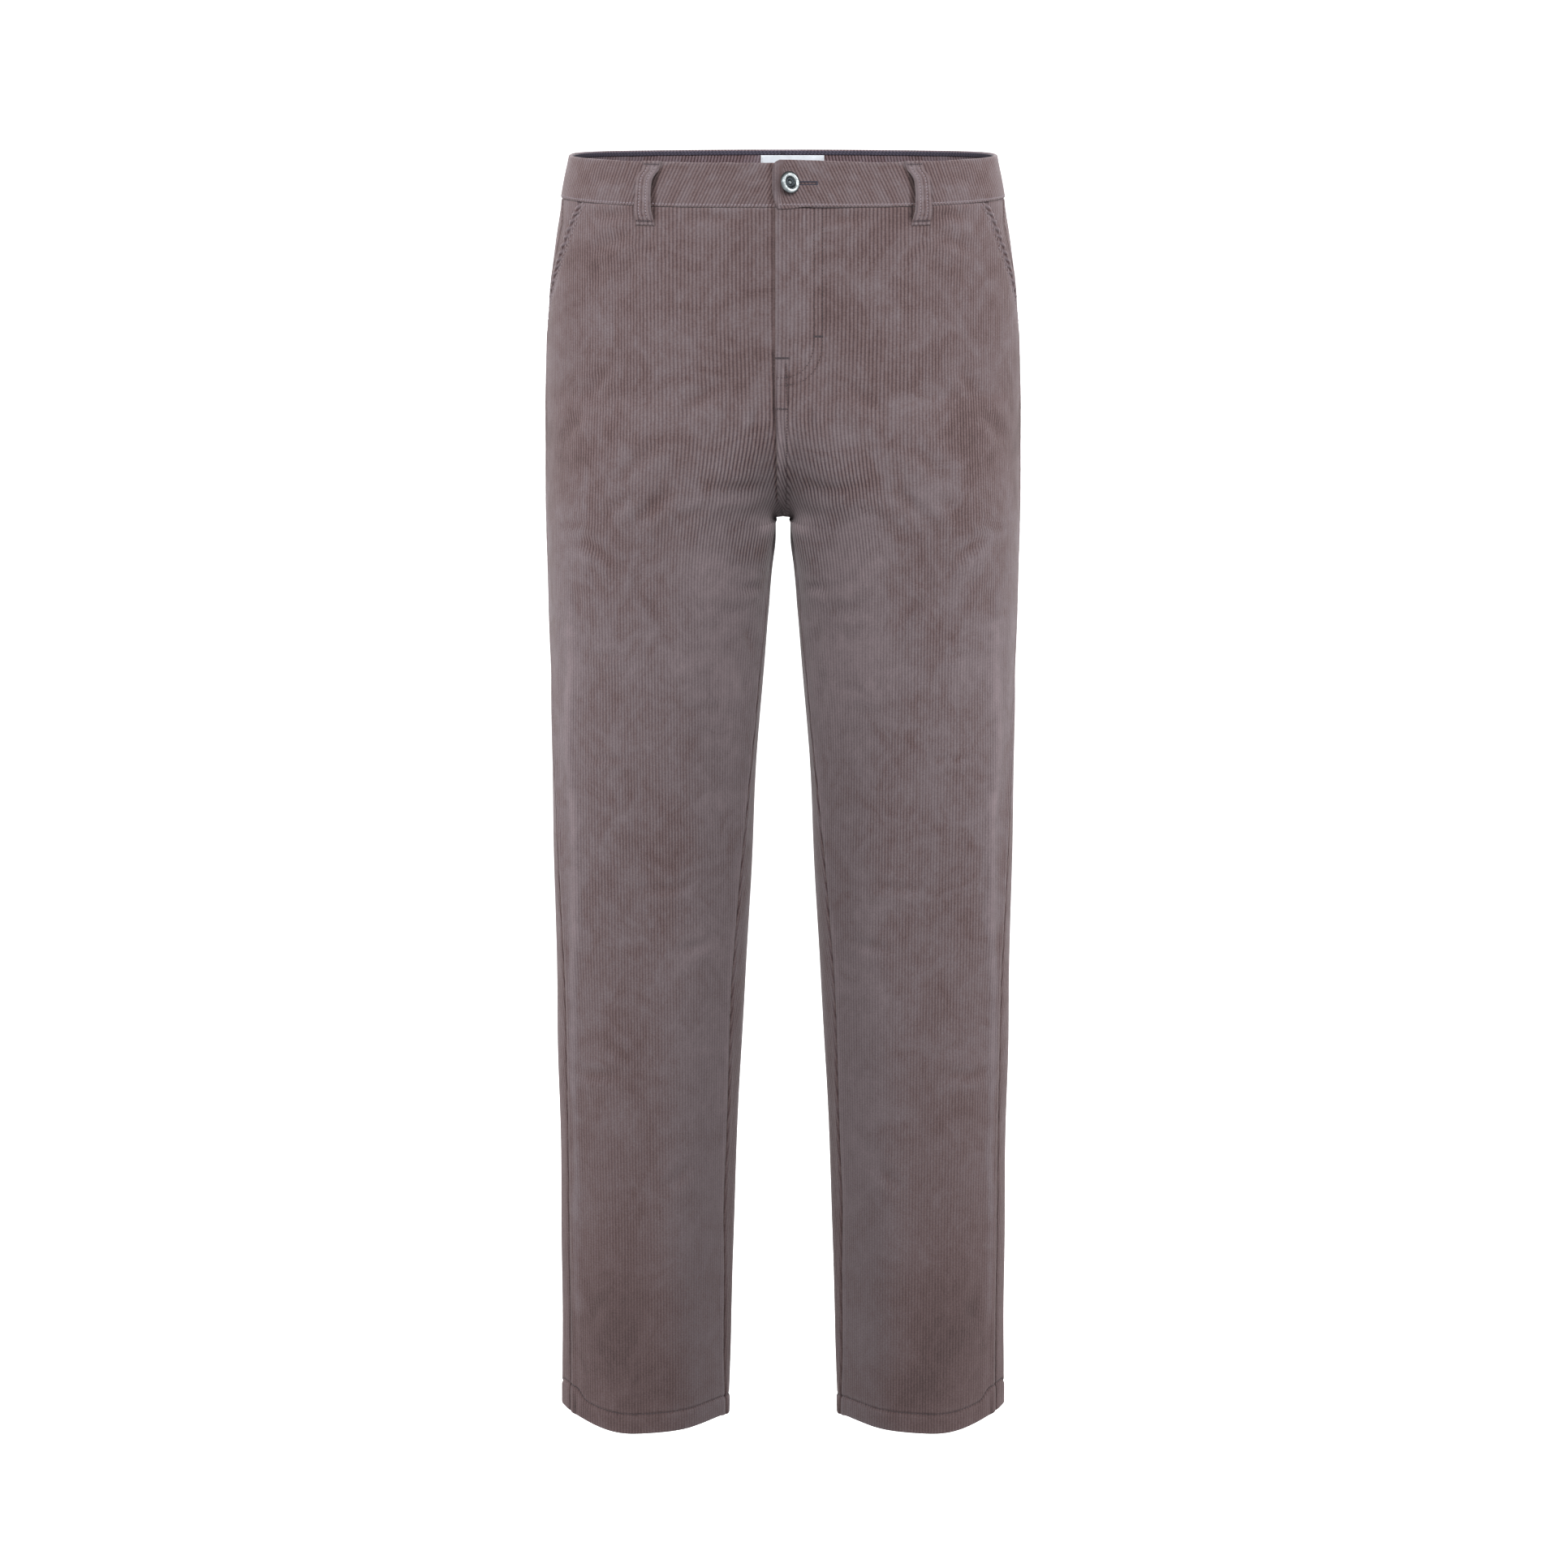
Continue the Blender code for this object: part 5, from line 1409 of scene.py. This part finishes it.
def build_loop(name, share, lean, mirror=False):
    """A flat strip with rolled sides, tacked down at both ends, standing off the band between them."""
    top = LOOP_TOP if share < 1 else LOOP_TOP_BEHIND
    heights = WAIST_SEAM + np.concatenate((
        LOOP_FOOT + np.array((0.0, 0.3, 0.8, 1.5, 2.4, 3.4, 4.2, 5.2, 6.4)), np.linspace(-8.3, top - 6.3, 26),
        top - np.array((4.8, 3.7, 2.9, 2.1, 1.3, 0.7, 0.3, 0.0)))) * MM
    across = np.array((-0.5, -0.485, -0.455, -0.41, -0.35, -0.27, -0.18, -0.06,
                       0.06, 0.18, 0.27, 0.35, 0.41, 0.455, 0.485, 0.5))
    high, shares, off = loop_grid(share, lean, heights, across)
    above = high - WAIST_SEAM
    side = (0.5 - np.abs(across)) * LOOP_WIDTH
    over = rounded_edge(side + 0 * above, 0.9 * MM)
    ends = np.minimum(above - LOOP_FOOT * MM, top * MM - above)
    over = np.minimum(over, rounded_edge(ends, 0.9 * MM))
    rows = groove(np.abs(across) * LOOP_WIDTH - LOOP_STITCH + 0 * above, 0.7, 0.28)
    tacks = groove(above - (LOOP_FOOT + 3.4) * MM, 1.1, 0.45) + groove(above - (top - 2.9) * MM, 1.1, 0.35)
    wave = 0.16 * MM * ripple(above, (0.021, 0.0112, 0.0067), 0.5 + 3 * share)
    outer = skin(high, shares, off + LOOP_WALL + over + rows + tacks + wave)
    inner = skin(high, shares, off + 0 * above)
    cloth = np.stack((across * LOOP_WIDTH + 0.7 * MM + 0 * above, above), axis=-1)
    patches = 0.13 * ripple(above, (0.0089, 0.0051), 2.0 + share) * bell(across / 0.2)
    # painted shade in the groove of the lower bar tack
    tint = (0.12 * hump(side, 1.2, 1.2) + 0.04 + 0.06 * bell(across / 0.2) + patches
            - 0.22 * hump(above, LOOP_FOOT + 3.4, 1.0) + 0.10 * hump(above, LOOP_FOOT + 1.2, 1.2)
            + 0.12 * hump(above, top - 5, 3) * bell(across / 0.3))
    piece = shell(name + "_strip", outer, inner, [CORDUROY, CORDUROY_REVERSE], cloth, tint, mirror)
    as_cloth(name, "corduroy", outer)


LOOPS = (
    ("belt_loop_front_left", LOOP_SHARE, 1.0, False),
    ("belt_loop_front_right", LOOP_SHARE, 1.0, True),
    ("belt_loop_back_left", 1.36, -0.5, False),
    ("belt_loop_back_right", 1.36, -0.5, True),
    ("belt_loop_back_centre", 2.0, 0.0, False),
)
for loop_name, loop_share, loop_lean, loop_mirror in LOOPS:
    build_loop(loop_name, loop_share, loop_lean, loop_mirror)
build_binding("waist_binding_left", True)
build_binding("waist_binding_right", False)


# ---------------- pockets, zip and label
def build_pocket(side_name, left):
    """The facing seen behind the slant mouth, and the plain cotton bag behind it."""
    for part_name, low, reach, depth, wall, material, slot in (
            # its foot, how far it reaches forward of the mouth, how deep it lies and its wall, in mm
            ("pocket_facing_", -118, 16, 0.25, 1.2, CORDUROY, "corduroy"),
            ("pocket_bag_", -216, 88, 1.75, 1.0, POCKET_COTTON, "pocket_cotton")):
        heights = np.linspace(low * MM, PANEL_TOP, 44)[:, None]
        length = front_length(heights)
        _, mouth_edge = front_edges(heights, left)
        start = mouth_edge - reach * MM
        end = length - SEAM
        distance = start + (end - start) * np.linspace(0.0, 1.0, 30)
        heights = np.broadcast_to(heights, distance.shape)
        relief, _ = front_shape(heights, distance, left)
        plain = relief - fly_lift(heights, distance) * left
        past = np.where(part_name == "pocket_facing_", rises(distance - mouth_edge, 0, 7), 0.0)
        under = -CLOTH - depth * MM + past * (CLOTH - 0.1 * MM)
        bound = np.minimum(plain, 0.3 * MM) * (1 - past)
        outer = skin(heights, distance / length, under + bound)
        inner = skin(heights, distance / length, under + bound - wall * MM)
        cloth = np.stack((distance - length + 60 * MM, heights), axis=-1)
        shade = -0.12 * (1 - past) - 0.55 * hump(length - distance, 2.0, 1.8) * hump(heights, -41, 15)
        piece = shell(part_name + side_name + "_cloth", outer, inner, [material], cloth, shade, mirror=not left)
        as_cloth(part_name + side_name, slot, skin(heights, distance / length))


build_pocket("left", True)
build_pocket("right", False)


def mouth_roll(name, left):
    """The folded edge of the pocket mouth, pulled into a fine twist by its stitching.

    A tube 4.2 mm thick along the mouth, its radius swelling 22 % in two turns of a screw every 15 mm, thinner
    and deeper towards the side seam.
    """
    rings = 230
    sides = 14
    heights = np.linspace(-119 * MM, PANEL_TOP - 1.2 * MM, rings)
    _, edge = front_edges(heights, left)
    distance = edge - 0.3 * MM
    relief, _ = front_shape(heights, np.minimum(distance, edge - 2.4 * MM), left)
    shares = distance / front_length(heights)
    sinks = falls(heights, -82, 34)
    centre = skin(heights, shares, relief - (0.2 + 1.5 * sinks) * MM)
    outward = outward_at(heights, shares)
    forward = np.gradient(centre, axis=0)
    forward /= np.linalg.norm(forward, axis=1, keepdims=True)
    across = np.cross(outward, forward)
    walked = np.concatenate(([0.0], np.cumsum(np.linalg.norm(np.diff(centre, axis=0), axis=1))))
    turn = np.linspace(0.0, 2 * np.pi, sides, endpoint=False)
    ends = np.minimum(walked, walked[-1] - walked)
    radius = (2.1 - 0.8 * sinks) * MM * np.sqrt(np.clip(ends / (3 * MM), 0.02, 1.0))
    strand = np.cos(2 * turn + 2 * np.pi * walked[:, None] / (7.5 * MM))
    grid = centre[:, None, :] + (radius[:, None] * (1 + 0.22 * strand))[..., None] * (
        across[:, None, :] * np.cos(turn)[:, None] * 1.15 + outward[:, None, :] * np.sin(turn)[:, None])
    index = np.arange(rings * sides).reshape(rings, sides)
    after = np.roll(index, -1, axis=1)
    tip = np.full(sides, rings * sides)
    faces = np.concatenate((
        np.stack((index[:-1], after[:-1], after[1:], index[1:]), axis=-1).reshape(-1, 4),
        np.stack((tip, after[0], index[0], index[0]), axis=-1),
        np.stack((tip + 1, index[-1], after[-1], after[-1]), axis=-1)))
    points = np.concatenate((grid.reshape(-1, 3), grid[0].mean(axis=0)[None], grid[-1].mean(axis=0)[None]))
    if not left:
        points = points * OTHER_SIDE
        faces = turned_over(faces)
    cloth = np.stack((np.arange(sides) * 0.55 * MM + 0 * strand, walked[:, None] + 0 * strand), axis=-1)
    cloth = np.concatenate((cloth.reshape(-1, 2), np.zeros((2, 2))))
    # painted light on the swelling strands of the twist and painted shade between them
    tone_and_painted_light = np.concatenate(((0.14 + 0.34 * strand).ravel(), (0.0, 0.0)))
    mesh_from(name, points, faces, [CORDUROY], cloth, tone_and_painted_light)


mouth_roll("pocket_edge_left", True)
mouth_roll("pocket_edge_right", False)


def build_zip():
    """A closed zip: woven tape behind the fly and two rows of small metal teeth."""
    heights = np.linspace(-178 * MM, PANEL_TOP, 40)[:, None]
    distance = np.linspace(-15.0, 15.0, 13) * MM + 0 * heights
    heights = np.broadcast_to(heights, distance.shape)
    shares = distance / front_length(heights)
    outer = skin(heights, shares, -CLOTH - 0.5 * MM)
    inner = skin(heights, shares, -CLOTH - 1.1 * MM)
    cloth = np.stack((distance, heights), axis=-1)
    tape = shell("fly_zip_tape", outer, inner, [ZIP_TAPE], cloth, np.zeros(heights.shape))
    as_cloth("fly_zip", "zip_tape", skin(heights, shares))
    rows = np.arange(-172 * MM, -22 * MM, 2.4 * MM)
    corners = np.array(((-1, -1, -1), (1, -1, -1), (1, 1, -1), (-1, 1, -1),
                        (-0.7, -0.7, 1), (0.7, -0.7, 1), (0.7, 0.7, 1), (-0.7, 0.7, 1)), float)
    faces = np.array(((0, 3, 2, 1), (4, 5, 6, 7), (0, 1, 5, 4), (1, 2, 6, 5), (2, 3, 7, 6), (3, 0, 4, 7)))
    points = []
    for side in (-1, 1):
        level = rows + (0.6 * MM) * side
        share = side * 1.1 * MM / front_length(level)
        middle = skin(level, share, -CLOTH - 1.5 * MM)
        inward = -outward_at(level, share)
        upward = np.broadcast_to((0.0, 0.0, 1.0), inward.shape)
        across = np.cross(inward, upward)
        box = (middle[:, None] + across[:, None] * corners[:, :1] * 1.3 * MM
               + upward[:, None] * corners[:, 1:2] * 0.55 * MM + inward[:, None] * corners[:, 2:] * 0.5 * MM)
        points.append(box.reshape(-1, 3))
    points = np.concatenate(points)
    every = (faces + 8 * np.arange(len(points) // 8)[:, None, None]).reshape(-1, 4)
    teeth = mesh_from("fly_zip_teeth", points, every, [ZIP_BRASS], tone_and_painted_light=np.ones(len(points)),
                      flat=np.ones(len(every), bool))


build_zip()


LABEL_ASIDE = 8.4 * MM        # sewn a little to the wearer's left of the centre back


def build_label():
    """A blank satin label folded under at both ends and sewn inside the centre back of the band."""
    heights = WAIST_SEAM + np.concatenate(((8.0, 8.2, 8.6), np.linspace(9.4, 30.0, 12),
                                           (30.8, 31.2, 31.4))) * MM
    across = np.concatenate(((-28.0, -27.8, -27.3, -26.4, -25.0), np.linspace(-22, 22, 17),
                             (25.0, 26.4, 27.3, 27.8, 28.0))) * MM
    length = back_length(heights)[:, None]
    shares = 2 + (across - LABEL_ASIDE) / length
    high = np.broadcast_to(heights[:, None], shares.shape)
    folded = rises(np.abs(across), 22.5, 1.0)
    bow = 0.35 * MM * np.cos(across / (56 * MM) * np.pi) * np.sin(
        np.pi * (high - heights[0]) / (heights[-1] - heights[0])) ** 2
    ends = np.minimum(high - heights[0], heights[-1] - high)
    rim = rounded_edge(np.minimum(28 * MM - np.abs(across), ends), 0.25 * MM)
    face = -BAND_IN - 0.9 * MM - 0.25 * MM * folded - bow - rim
    back = -BAND_IN - 0.35 * MM - bow * 0.6 + 0 * face
    cloth = np.stack((across + 0 * high, high), axis=-1)
    piece = shell("waist_label_satin", skin(high, shares, back), skin(high, shares, face), [LABEL_SATIN], cloth,
                  np.zeros(high.shape))
    as_cloth("waist_label", "label_satin", skin(high, shares))


build_label()


# ---------------- button
BUTTON_SHARE = share_at_x(WAIST_SEAM + BUTTON_HEIGHT, BUTTON_X)
BUTTON_FOOT = skin(WAIST_SEAM + BUTTON_HEIGHT, BUTTON_SHARE, BAND_LIFT + BAND_OUT)
BUTTON_TURN = 33.0            # degrees that it leans towards the buttonhole
BUTTON_NOD = 6.0              # and upwards
BUTTON_SCALE = 0.94           # of its table


def build_button():
    """A ring-topped shank button: its outline turned about the shank, which leans towards the buttonhole."""
    outline = np.array(BUTTON_SHAPE) * BUTTON_SCALE * MM
    along_shank = outline[:, 1] + 0.9 * MM
    turns = 56
    angle = np.linspace(0.0, 2 * np.pi, turns, endpoint=False)
    facing = outward_at(np.array(WAIST_SEAM + BUTTON_HEIGHT), np.array(BUTTON_SHARE))
    lean = np.radians(BUTTON_TURN)
    nod = np.radians(BUTTON_NOD)
    direction = facing + np.array((np.tan(lean), 0.0, np.tan(nod)))
    direction /= np.linalg.norm(direction)
    across = np.cross(direction, (0.0, 0.0, 1.0))
    across /= np.linalg.norm(across)
    upward = np.cross(across, direction)
    rings = outline[1:-1]
    grid = (BUTTON_FOOT + direction * along_shank[1:-1, None, None]
            + rings[:, 0][:, None, None] * (across * np.cos(angle)[:, None] + upward * np.sin(angle)[:, None]))
    ends = BUTTON_FOOT + direction * along_shank[[0, -1], None]
    points = np.concatenate((grid.reshape(-1, 3), ends))
    bright = np.interp(rings[:, 0], (1.8 * MM, 2.2 * MM, 4.4 * MM, 5.0 * MM, 7.4 * MM, 8.8 * MM),
                       (0.25, 0.02, 0.02, 1.0, 0.9, 0.22))
    bright = np.where(rings[:, 1] < 2.0 * MM, 0.1, bright)
    tone_and_painted_light = np.concatenate((np.repeat(bright, turns), (0.2, 0.3)))
    piece = mesh_from("waist_button_metal", points, closed_rings(len(rings), turns), [ANTIQUE_SILVER], tone_and_painted_light=tone_and_painted_light)
    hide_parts("waist_button")


build_button()


# ---------------- stitches
STITCH_THICK = 0.75 * MM      # real thread is 0.4 mm thick, drawn thicker so that it shows
STITCH_LIFT = 0.1 * MM


def stitch_frames(path, outward, pitch):
    """Even places along a path: middle, direction and outward of every stitch."""
    walked = np.concatenate(([0.0], np.cumsum(np.linalg.norm(np.diff(path, axis=0), axis=1))))
    count = max(int(walked[-1] / pitch), 1)
    places = (np.arange(count) + 0.5) * walked[-1] / count

    def at(where, values):
        return np.stack([np.interp(where, walked, values[:, axis]) for axis in range(3)], axis=1)

    heading = at(places + 0.3 * pitch, path) - at(places - 0.3 * pitch, path)
    heading /= np.linalg.norm(heading, axis=1, keepdims=True)
    up = at(places, outward)
    up -= heading * np.sum(up * heading, axis=1, keepdims=True)
    up /= np.linalg.norm(up, axis=1, keepdims=True)
    return at(places, path) + up * STITCH_LIFT, heading, up


def spindle(middle, heading, up, length, thick):
    """Stitches as spindles: six-sided rings of radius r sqrt(1 - s^4), a third of each sunk in the cloth."""
    place = np.array((-0.78, -0.3, 0.3, 0.78))
    radius = thick / 2 * np.sqrt(1 - place ** 4)
    angle = np.linspace(0.0, 2 * np.pi, 6, endpoint=False)
    aside = np.cross(heading, up)
    ring = (aside[:, None, None] * (np.cos(angle) * 1.2)[:, None]
            + up[:, None, None] * np.sin(angle)[:, None]) * radius[:, None, None]
    arch = -0.35 * thick * place ** 2
    bodies = (middle[:, None, None] + heading[:, None, None] * (place * length / 2)[:, None, None]
              + up[:, None, None] * arch[:, None, None] + ring)
    tips = (middle[:, None] + heading[:, None] * np.array((-0.5, 0.5))[:, None] * length
            - up[:, None] * 0.45 * thick)
    points = np.concatenate((bodies.reshape(len(middle), -1, 3), tips), axis=1)
    every = closed_rings(4, 6) + points.shape[1] * np.arange(len(middle))[:, None, None]
    return points.reshape(-1, 3), every.reshape(-1, 4)


class Thread:
    """Gathers stitches of one thread, on one half or both, and makes one piece of them."""

    def __init__(self):
        self.points = []
        self.faces = []
        self.count = 0

    def keep(self, points, faces, mirror):
        """Add one side, and its mirror image where asked."""
        for flip in ((False, True) if mirror == "both" else (bool(mirror),)):
            self.points.append(points * OTHER_SIDE if flip else points)
            self.faces.append((turned_over(faces) if flip else faces) + self.count)
            self.count += len(points)

    def row(self, path, outward, pitch, length, mirror=False, thick=STITCH_THICK):
        """A row of stitches along a path, their pitch and length in mm."""
        self.keep(*spindle(*stitch_frames(path, outward, pitch * MM), length * MM, thick), mirror)

    def side_by_side(self, places, outward, length, thick, mirror=False, heading=(0.0, 0.0, 1.0)):
        """Close stitches beside each other, as in a bar tack, upright or along a heading; sizes in mm."""
        across = np.broadcast_to(heading, outward.shape)
        self.keep(*spindle(places, across, outward, length * MM, thick * MM), mirror)

    def make(self, name, material):
        """One mesh piece from all that was gathered."""
        mesh_from(name, np.concatenate(self.points), np.concatenate(self.faces), [material])


def on_front(heights, distance, left=True, out=0.0):
    """Places on a front panel, and which way is out there."""
    return front_point(heights, distance, left, out), outward_at(heights, distance / front_length(heights))


def on_band(heights, distance, left, out=0.0):
    """Places on the band, and which way is out there."""
    relief, _ = band_shape(heights, distance, left)
    shares = band_share(heights, distance)
    return skin(heights, shares, BAND_OUT + relief + out), outward_at(heights, shares)


def sew_waist():
    """Stitches along the foot of the band, sunk beside the seam."""
    thread = Thread()
    for left in (True, False):
        total = front_length(WAIST_SEAM) + back_length(WAIST_SEAM)
        distance = np.linspace(-3.5 * MM if left else -1 * MM, total - 1 * MM, 500)
        if not left:
            distance = distance[distance > 8 * MM]
        heights = np.full(distance.shape, WAIST_SEAM + 1.9 * MM)
        thread.row(*on_band(heights, distance, left), 2.9, 2.1, mirror=not left)
    thread.make("waist_seam_stitches", THREAD)


def sew_hems():
    """One row round each leg, holding the turned-up hem."""
    thread = Thread()
    length = front_length(HEM_HEIGHT + HEM_STITCH)
    distance = np.linspace(1.2 * MM, length - 1.2 * MM, 300)
    heights = HEM_HEIGHT + hem_line(length - distance)
    thread.row(front_point(heights, distance, True), outward_at(heights, distance / length), 3.1, 2.3,
               mirror="both")
    length = back_length(HEM_HEIGHT + HEM_STITCH)
    distance = np.linspace(1.2 * MM, length - 1.2 * MM, 300)
    heights = HEM_HEIGHT + hem_line(distance)
    shares = 1 + distance / length
    relief, _ = back_shape(heights, distance)
    thread.row(skin(heights, shares, relief), outward_at(heights, shares), 3.1, 2.3, mirror="both")
    thread.make("hem_stitches", THREAD_PAINTED_SHADE)


def sew_fly():
    """Two rows of fly stitching, the row by the felled seam, three bar tacks, and a row between two of them."""
    thread = Thread()
    for line in range(2):
        distance, heights = fly_curve(line)
        thread.row(*on_front(heights, distance), 2.7, 1.9)
    heights = np.linspace(-188 * MM, STRIP_END + 8 * MM, 120)
    thread.row(*on_front(heights, np.full(120, FELL_STITCH)), 2.7, 1.9)
    thread.make("fly_stitches", THREAD_PAINTED_SHADE)
    tacks = Thread()
    bar_tacks = ((29.1, -127.0, 7.4, 9), (-0.6, -145.1, 11.0, 12), (-1.2, -186.8, 9.6, 7))
    for distance, level, length, count in bar_tacks:
        place = np.linspace(-0.5, 0.5, count) * length * MM + distance * MM
        tacks.side_by_side(*on_front(np.full(count, level * MM), place, out=0.25 * MM), 1.9, 0.8)
    heights = np.linspace(-149 * MM, -185 * MM, 60)
    tacks.row(*on_front(heights, fly_slit(heights)), 2.2, 1.9)
    tacks.make("fly_bar_tacks", THREAD_PAINTED_SHADE)


def sew_pockets():
    """A row beside each pocket mouth."""
    thread = Thread()
    heights = np.linspace(-122 * MM, PANEL_TOP - 1 * MM, 200)
    _, edge = front_edges(heights, True)
    thread.row(*on_front(heights, edge - MOUTH_STITCH, False), 2.8, 2.0, mirror="both")
    thread.make("pocket_stitches", THREAD)


def sew_loops():
    """Two rows down every belt loop and a bar tack at each end."""
    thread = Thread()
    tacks = Thread()
    for _, share, lean, mirror in LOOPS:
        top = LOOP_TOP if share < 1 else LOOP_TOP_BEHIND
        heights = WAIST_SEAM + np.linspace(LOOP_FOOT + 5.5, top - 4.8, 60) * MM
        for side in (-1, 1):
            high, shares, off = loop_grid(share, lean, heights, np.array((side * LOOP_STITCH / LOOP_WIDTH,)))
            high, shares, off = high[:, 0], shares[:, 0], off[:, 0]
            thread.row(skin(high, shares, off + LOOP_WALL - 0.25 * MM), outward_at(high, shares), 2.4, 1.8,
                       mirror=mirror)
        for above in (LOOP_FOOT + 3.4, top - 2.9):
            high, shares, off = loop_grid(share, lean, WAIST_SEAM + np.array((above,)) * MM,
                                          np.linspace(-0.40, 0.40, 11))
            high, shares = high[0], shares[0]
            tacks.side_by_side(skin(high, shares, off[0] + LOOP_WALL - 0.2 * MM), outward_at(high, shares),
                               2.0, 0.75, mirror)
    thread.make("belt_loop_stitches", THREAD)
    tacks.make("belt_loop_tacks", THREAD_PAINTED_SHADE)


def sew_buttonhole():
    """Close purl stitches along both lips of the slit and round its end."""
    thread = Thread()
    middle = WAIST_SEAM + BUTTON_HEIGHT
    for side in (-1, 1):
        distance = np.linspace(13 * MM, SLIT_END + 0.6 * MM, 26)
        heights = middle + side * (SLIT_HALF + 0.75 * MM) + 0 * distance
        thread.side_by_side(*on_band(heights, distance, True, 0.1 * MM), 1.3, 0.6)
    heights = middle + np.linspace(-1.2, 1.2, 5) * MM
    thread.side_by_side(*on_band(heights, np.full(5, SLIT_END + 0.9 * MM), True, 0.1 * MM), 1.8, 0.6,
                        heading=(1.0, 0.0, 0.0))
    thread.make("buttonhole_stitches", THREAD_NAVY)


def sew_label():
    """A short row of stitches at each end of the label."""
    thread = Thread()
    for side in (-1, 1):
        heights = WAIST_SEAM + np.linspace(9.5, 30.0, 30) * MM
        shares = 2 + (side * 26.6 * MM - LABEL_ASIDE) / back_length(heights)
        thread.row(skin(heights, shares, -BAND_IN - 1.2 * MM), -outward_at(heights, shares), 2.6, 1.9,
                   thick=0.4 * MM)
    thread.make("label_stitches", THREAD_WHITE)


sew_waist()
sew_hems()
sew_fly()
sew_pockets()
sew_loops()
sew_buttonhole()
sew_label()

# ---------------- floor, light and camera
FLOOR_HEIGHT = -1.62
FLAT_RADIUS = 5.0
FLOOR_RADIUS = 9.0
RIM_HEIGHT = 5.0


def build_floor():
    """A round floor that sweeps up at its rim: z = floor + rim ((r - flat) / (R - flat))^2 beyond r = flat."""
    radius = np.concatenate((np.linspace(0.05, FLAT_RADIUS, 12), np.linspace(5.3, FLOOR_RADIUS, 24)))
    sides = 96
    angle = np.linspace(0.0, 2 * np.pi, sides, endpoint=False)
    rise = RIM_HEIGHT * ((radius - FLAT_RADIUS).clip(0) / (FLOOR_RADIUS - FLAT_RADIUS)) ** 2
    grid = np.stack((radius[:, None] * np.cos(angle), radius[:, None] * np.sin(angle),
                     (FLOOR_HEIGHT + rise)[:, None] + 0 * angle), axis=-1)
    material, add_node = new_material("white_paper_sweep")
    shader = add_node("BsdfPrincipled", {"Base Color": linear("#F7F7F7"), "Roughness": 0.95,
                                         "Emission Color": linear("#FFFFFF"), "Emission Strength": 1.0})
    add_node("OutputMaterial", {"Surface": shader})
    points = np.concatenate((grid.reshape(-1, 3), np.array(((0.0, 0.0, FLOOR_HEIGHT),))))
    floor = mesh_from("floor", points, closed_rings(len(radius), sides)[:-sides], [material])
    floor.visible_diffuse = False


def soft_box(name, place, aim, width, height, power, side=None):
    """A rectangular area light at a place, turned to its aim; with a side given, it lights that side only."""
    data = bpy.data.lights.new(name, "AREA")
    data.shape = "RECTANGLE"
    data.size = width
    data.size_y = height
    data.energy = power
    lamp = bpy.data.objects.new(name, data)
    lamp.location = place
    lamp.rotation_euler = (Vector(aim) - Vector(place)).to_track_quat("-Z", "Y").to_euler()
    scene.collection.objects.link(lamp)
    if side is not None:
        group = bpy.data.collections.new(name + "_pieces")
        for piece in scene.objects:
            if piece.type == "MESH" and side * sum(corner[0] for corner in piece.bound_box) > -0.08:
                group.objects.link(piece)
        lamp.light_linking.receiver_collection = group


build_floor()
soft_box("front_box", (0.0, -2.1, 1.25), (0.0, 0.0, -0.45), 1.6, 0.8, 47)
soft_box("left_box", (2.1, -1.25, 0.45), (0.1, 0.0, -0.45), 0.7, 1.8, 33, side=1)
soft_box("right_box", (-2.1, -1.25, 0.45), (-0.1, 0.0, -0.45), 0.7, 1.8, 33, side=-1)
soft_box("back_box", (0.0, 2.4, 1.4), (0.0, 0.0, -0.35), 2.0, 1.2, 80)

world = bpy.data.worlds.new("studio")
world.use_nodes = True
scene.world = world
background = world.node_tree.nodes["Background"]
background.inputs["Color"].default_value = (1.0, 1.0, 1.0, 1.0)
background.inputs["Strength"].default_value = 0.34

camera_data = bpy.data.cameras.new("camera")
camera_data.sensor_width = 36.0
camera_data.lens = 82.305
camera = bpy.data.objects.new("camera", camera_data)
camera.location = (0.0008, -3.1, 0.04)
camera.rotation_euler = (Vector((0.0008, 0.0, -0.525)) - camera.location).to_track_quat("-Z", "Y").to_euler()
scene.collection.objects.link(camera)
bpy.context.scene.camera = camera
scene.view_settings.view_transform = "Standard"
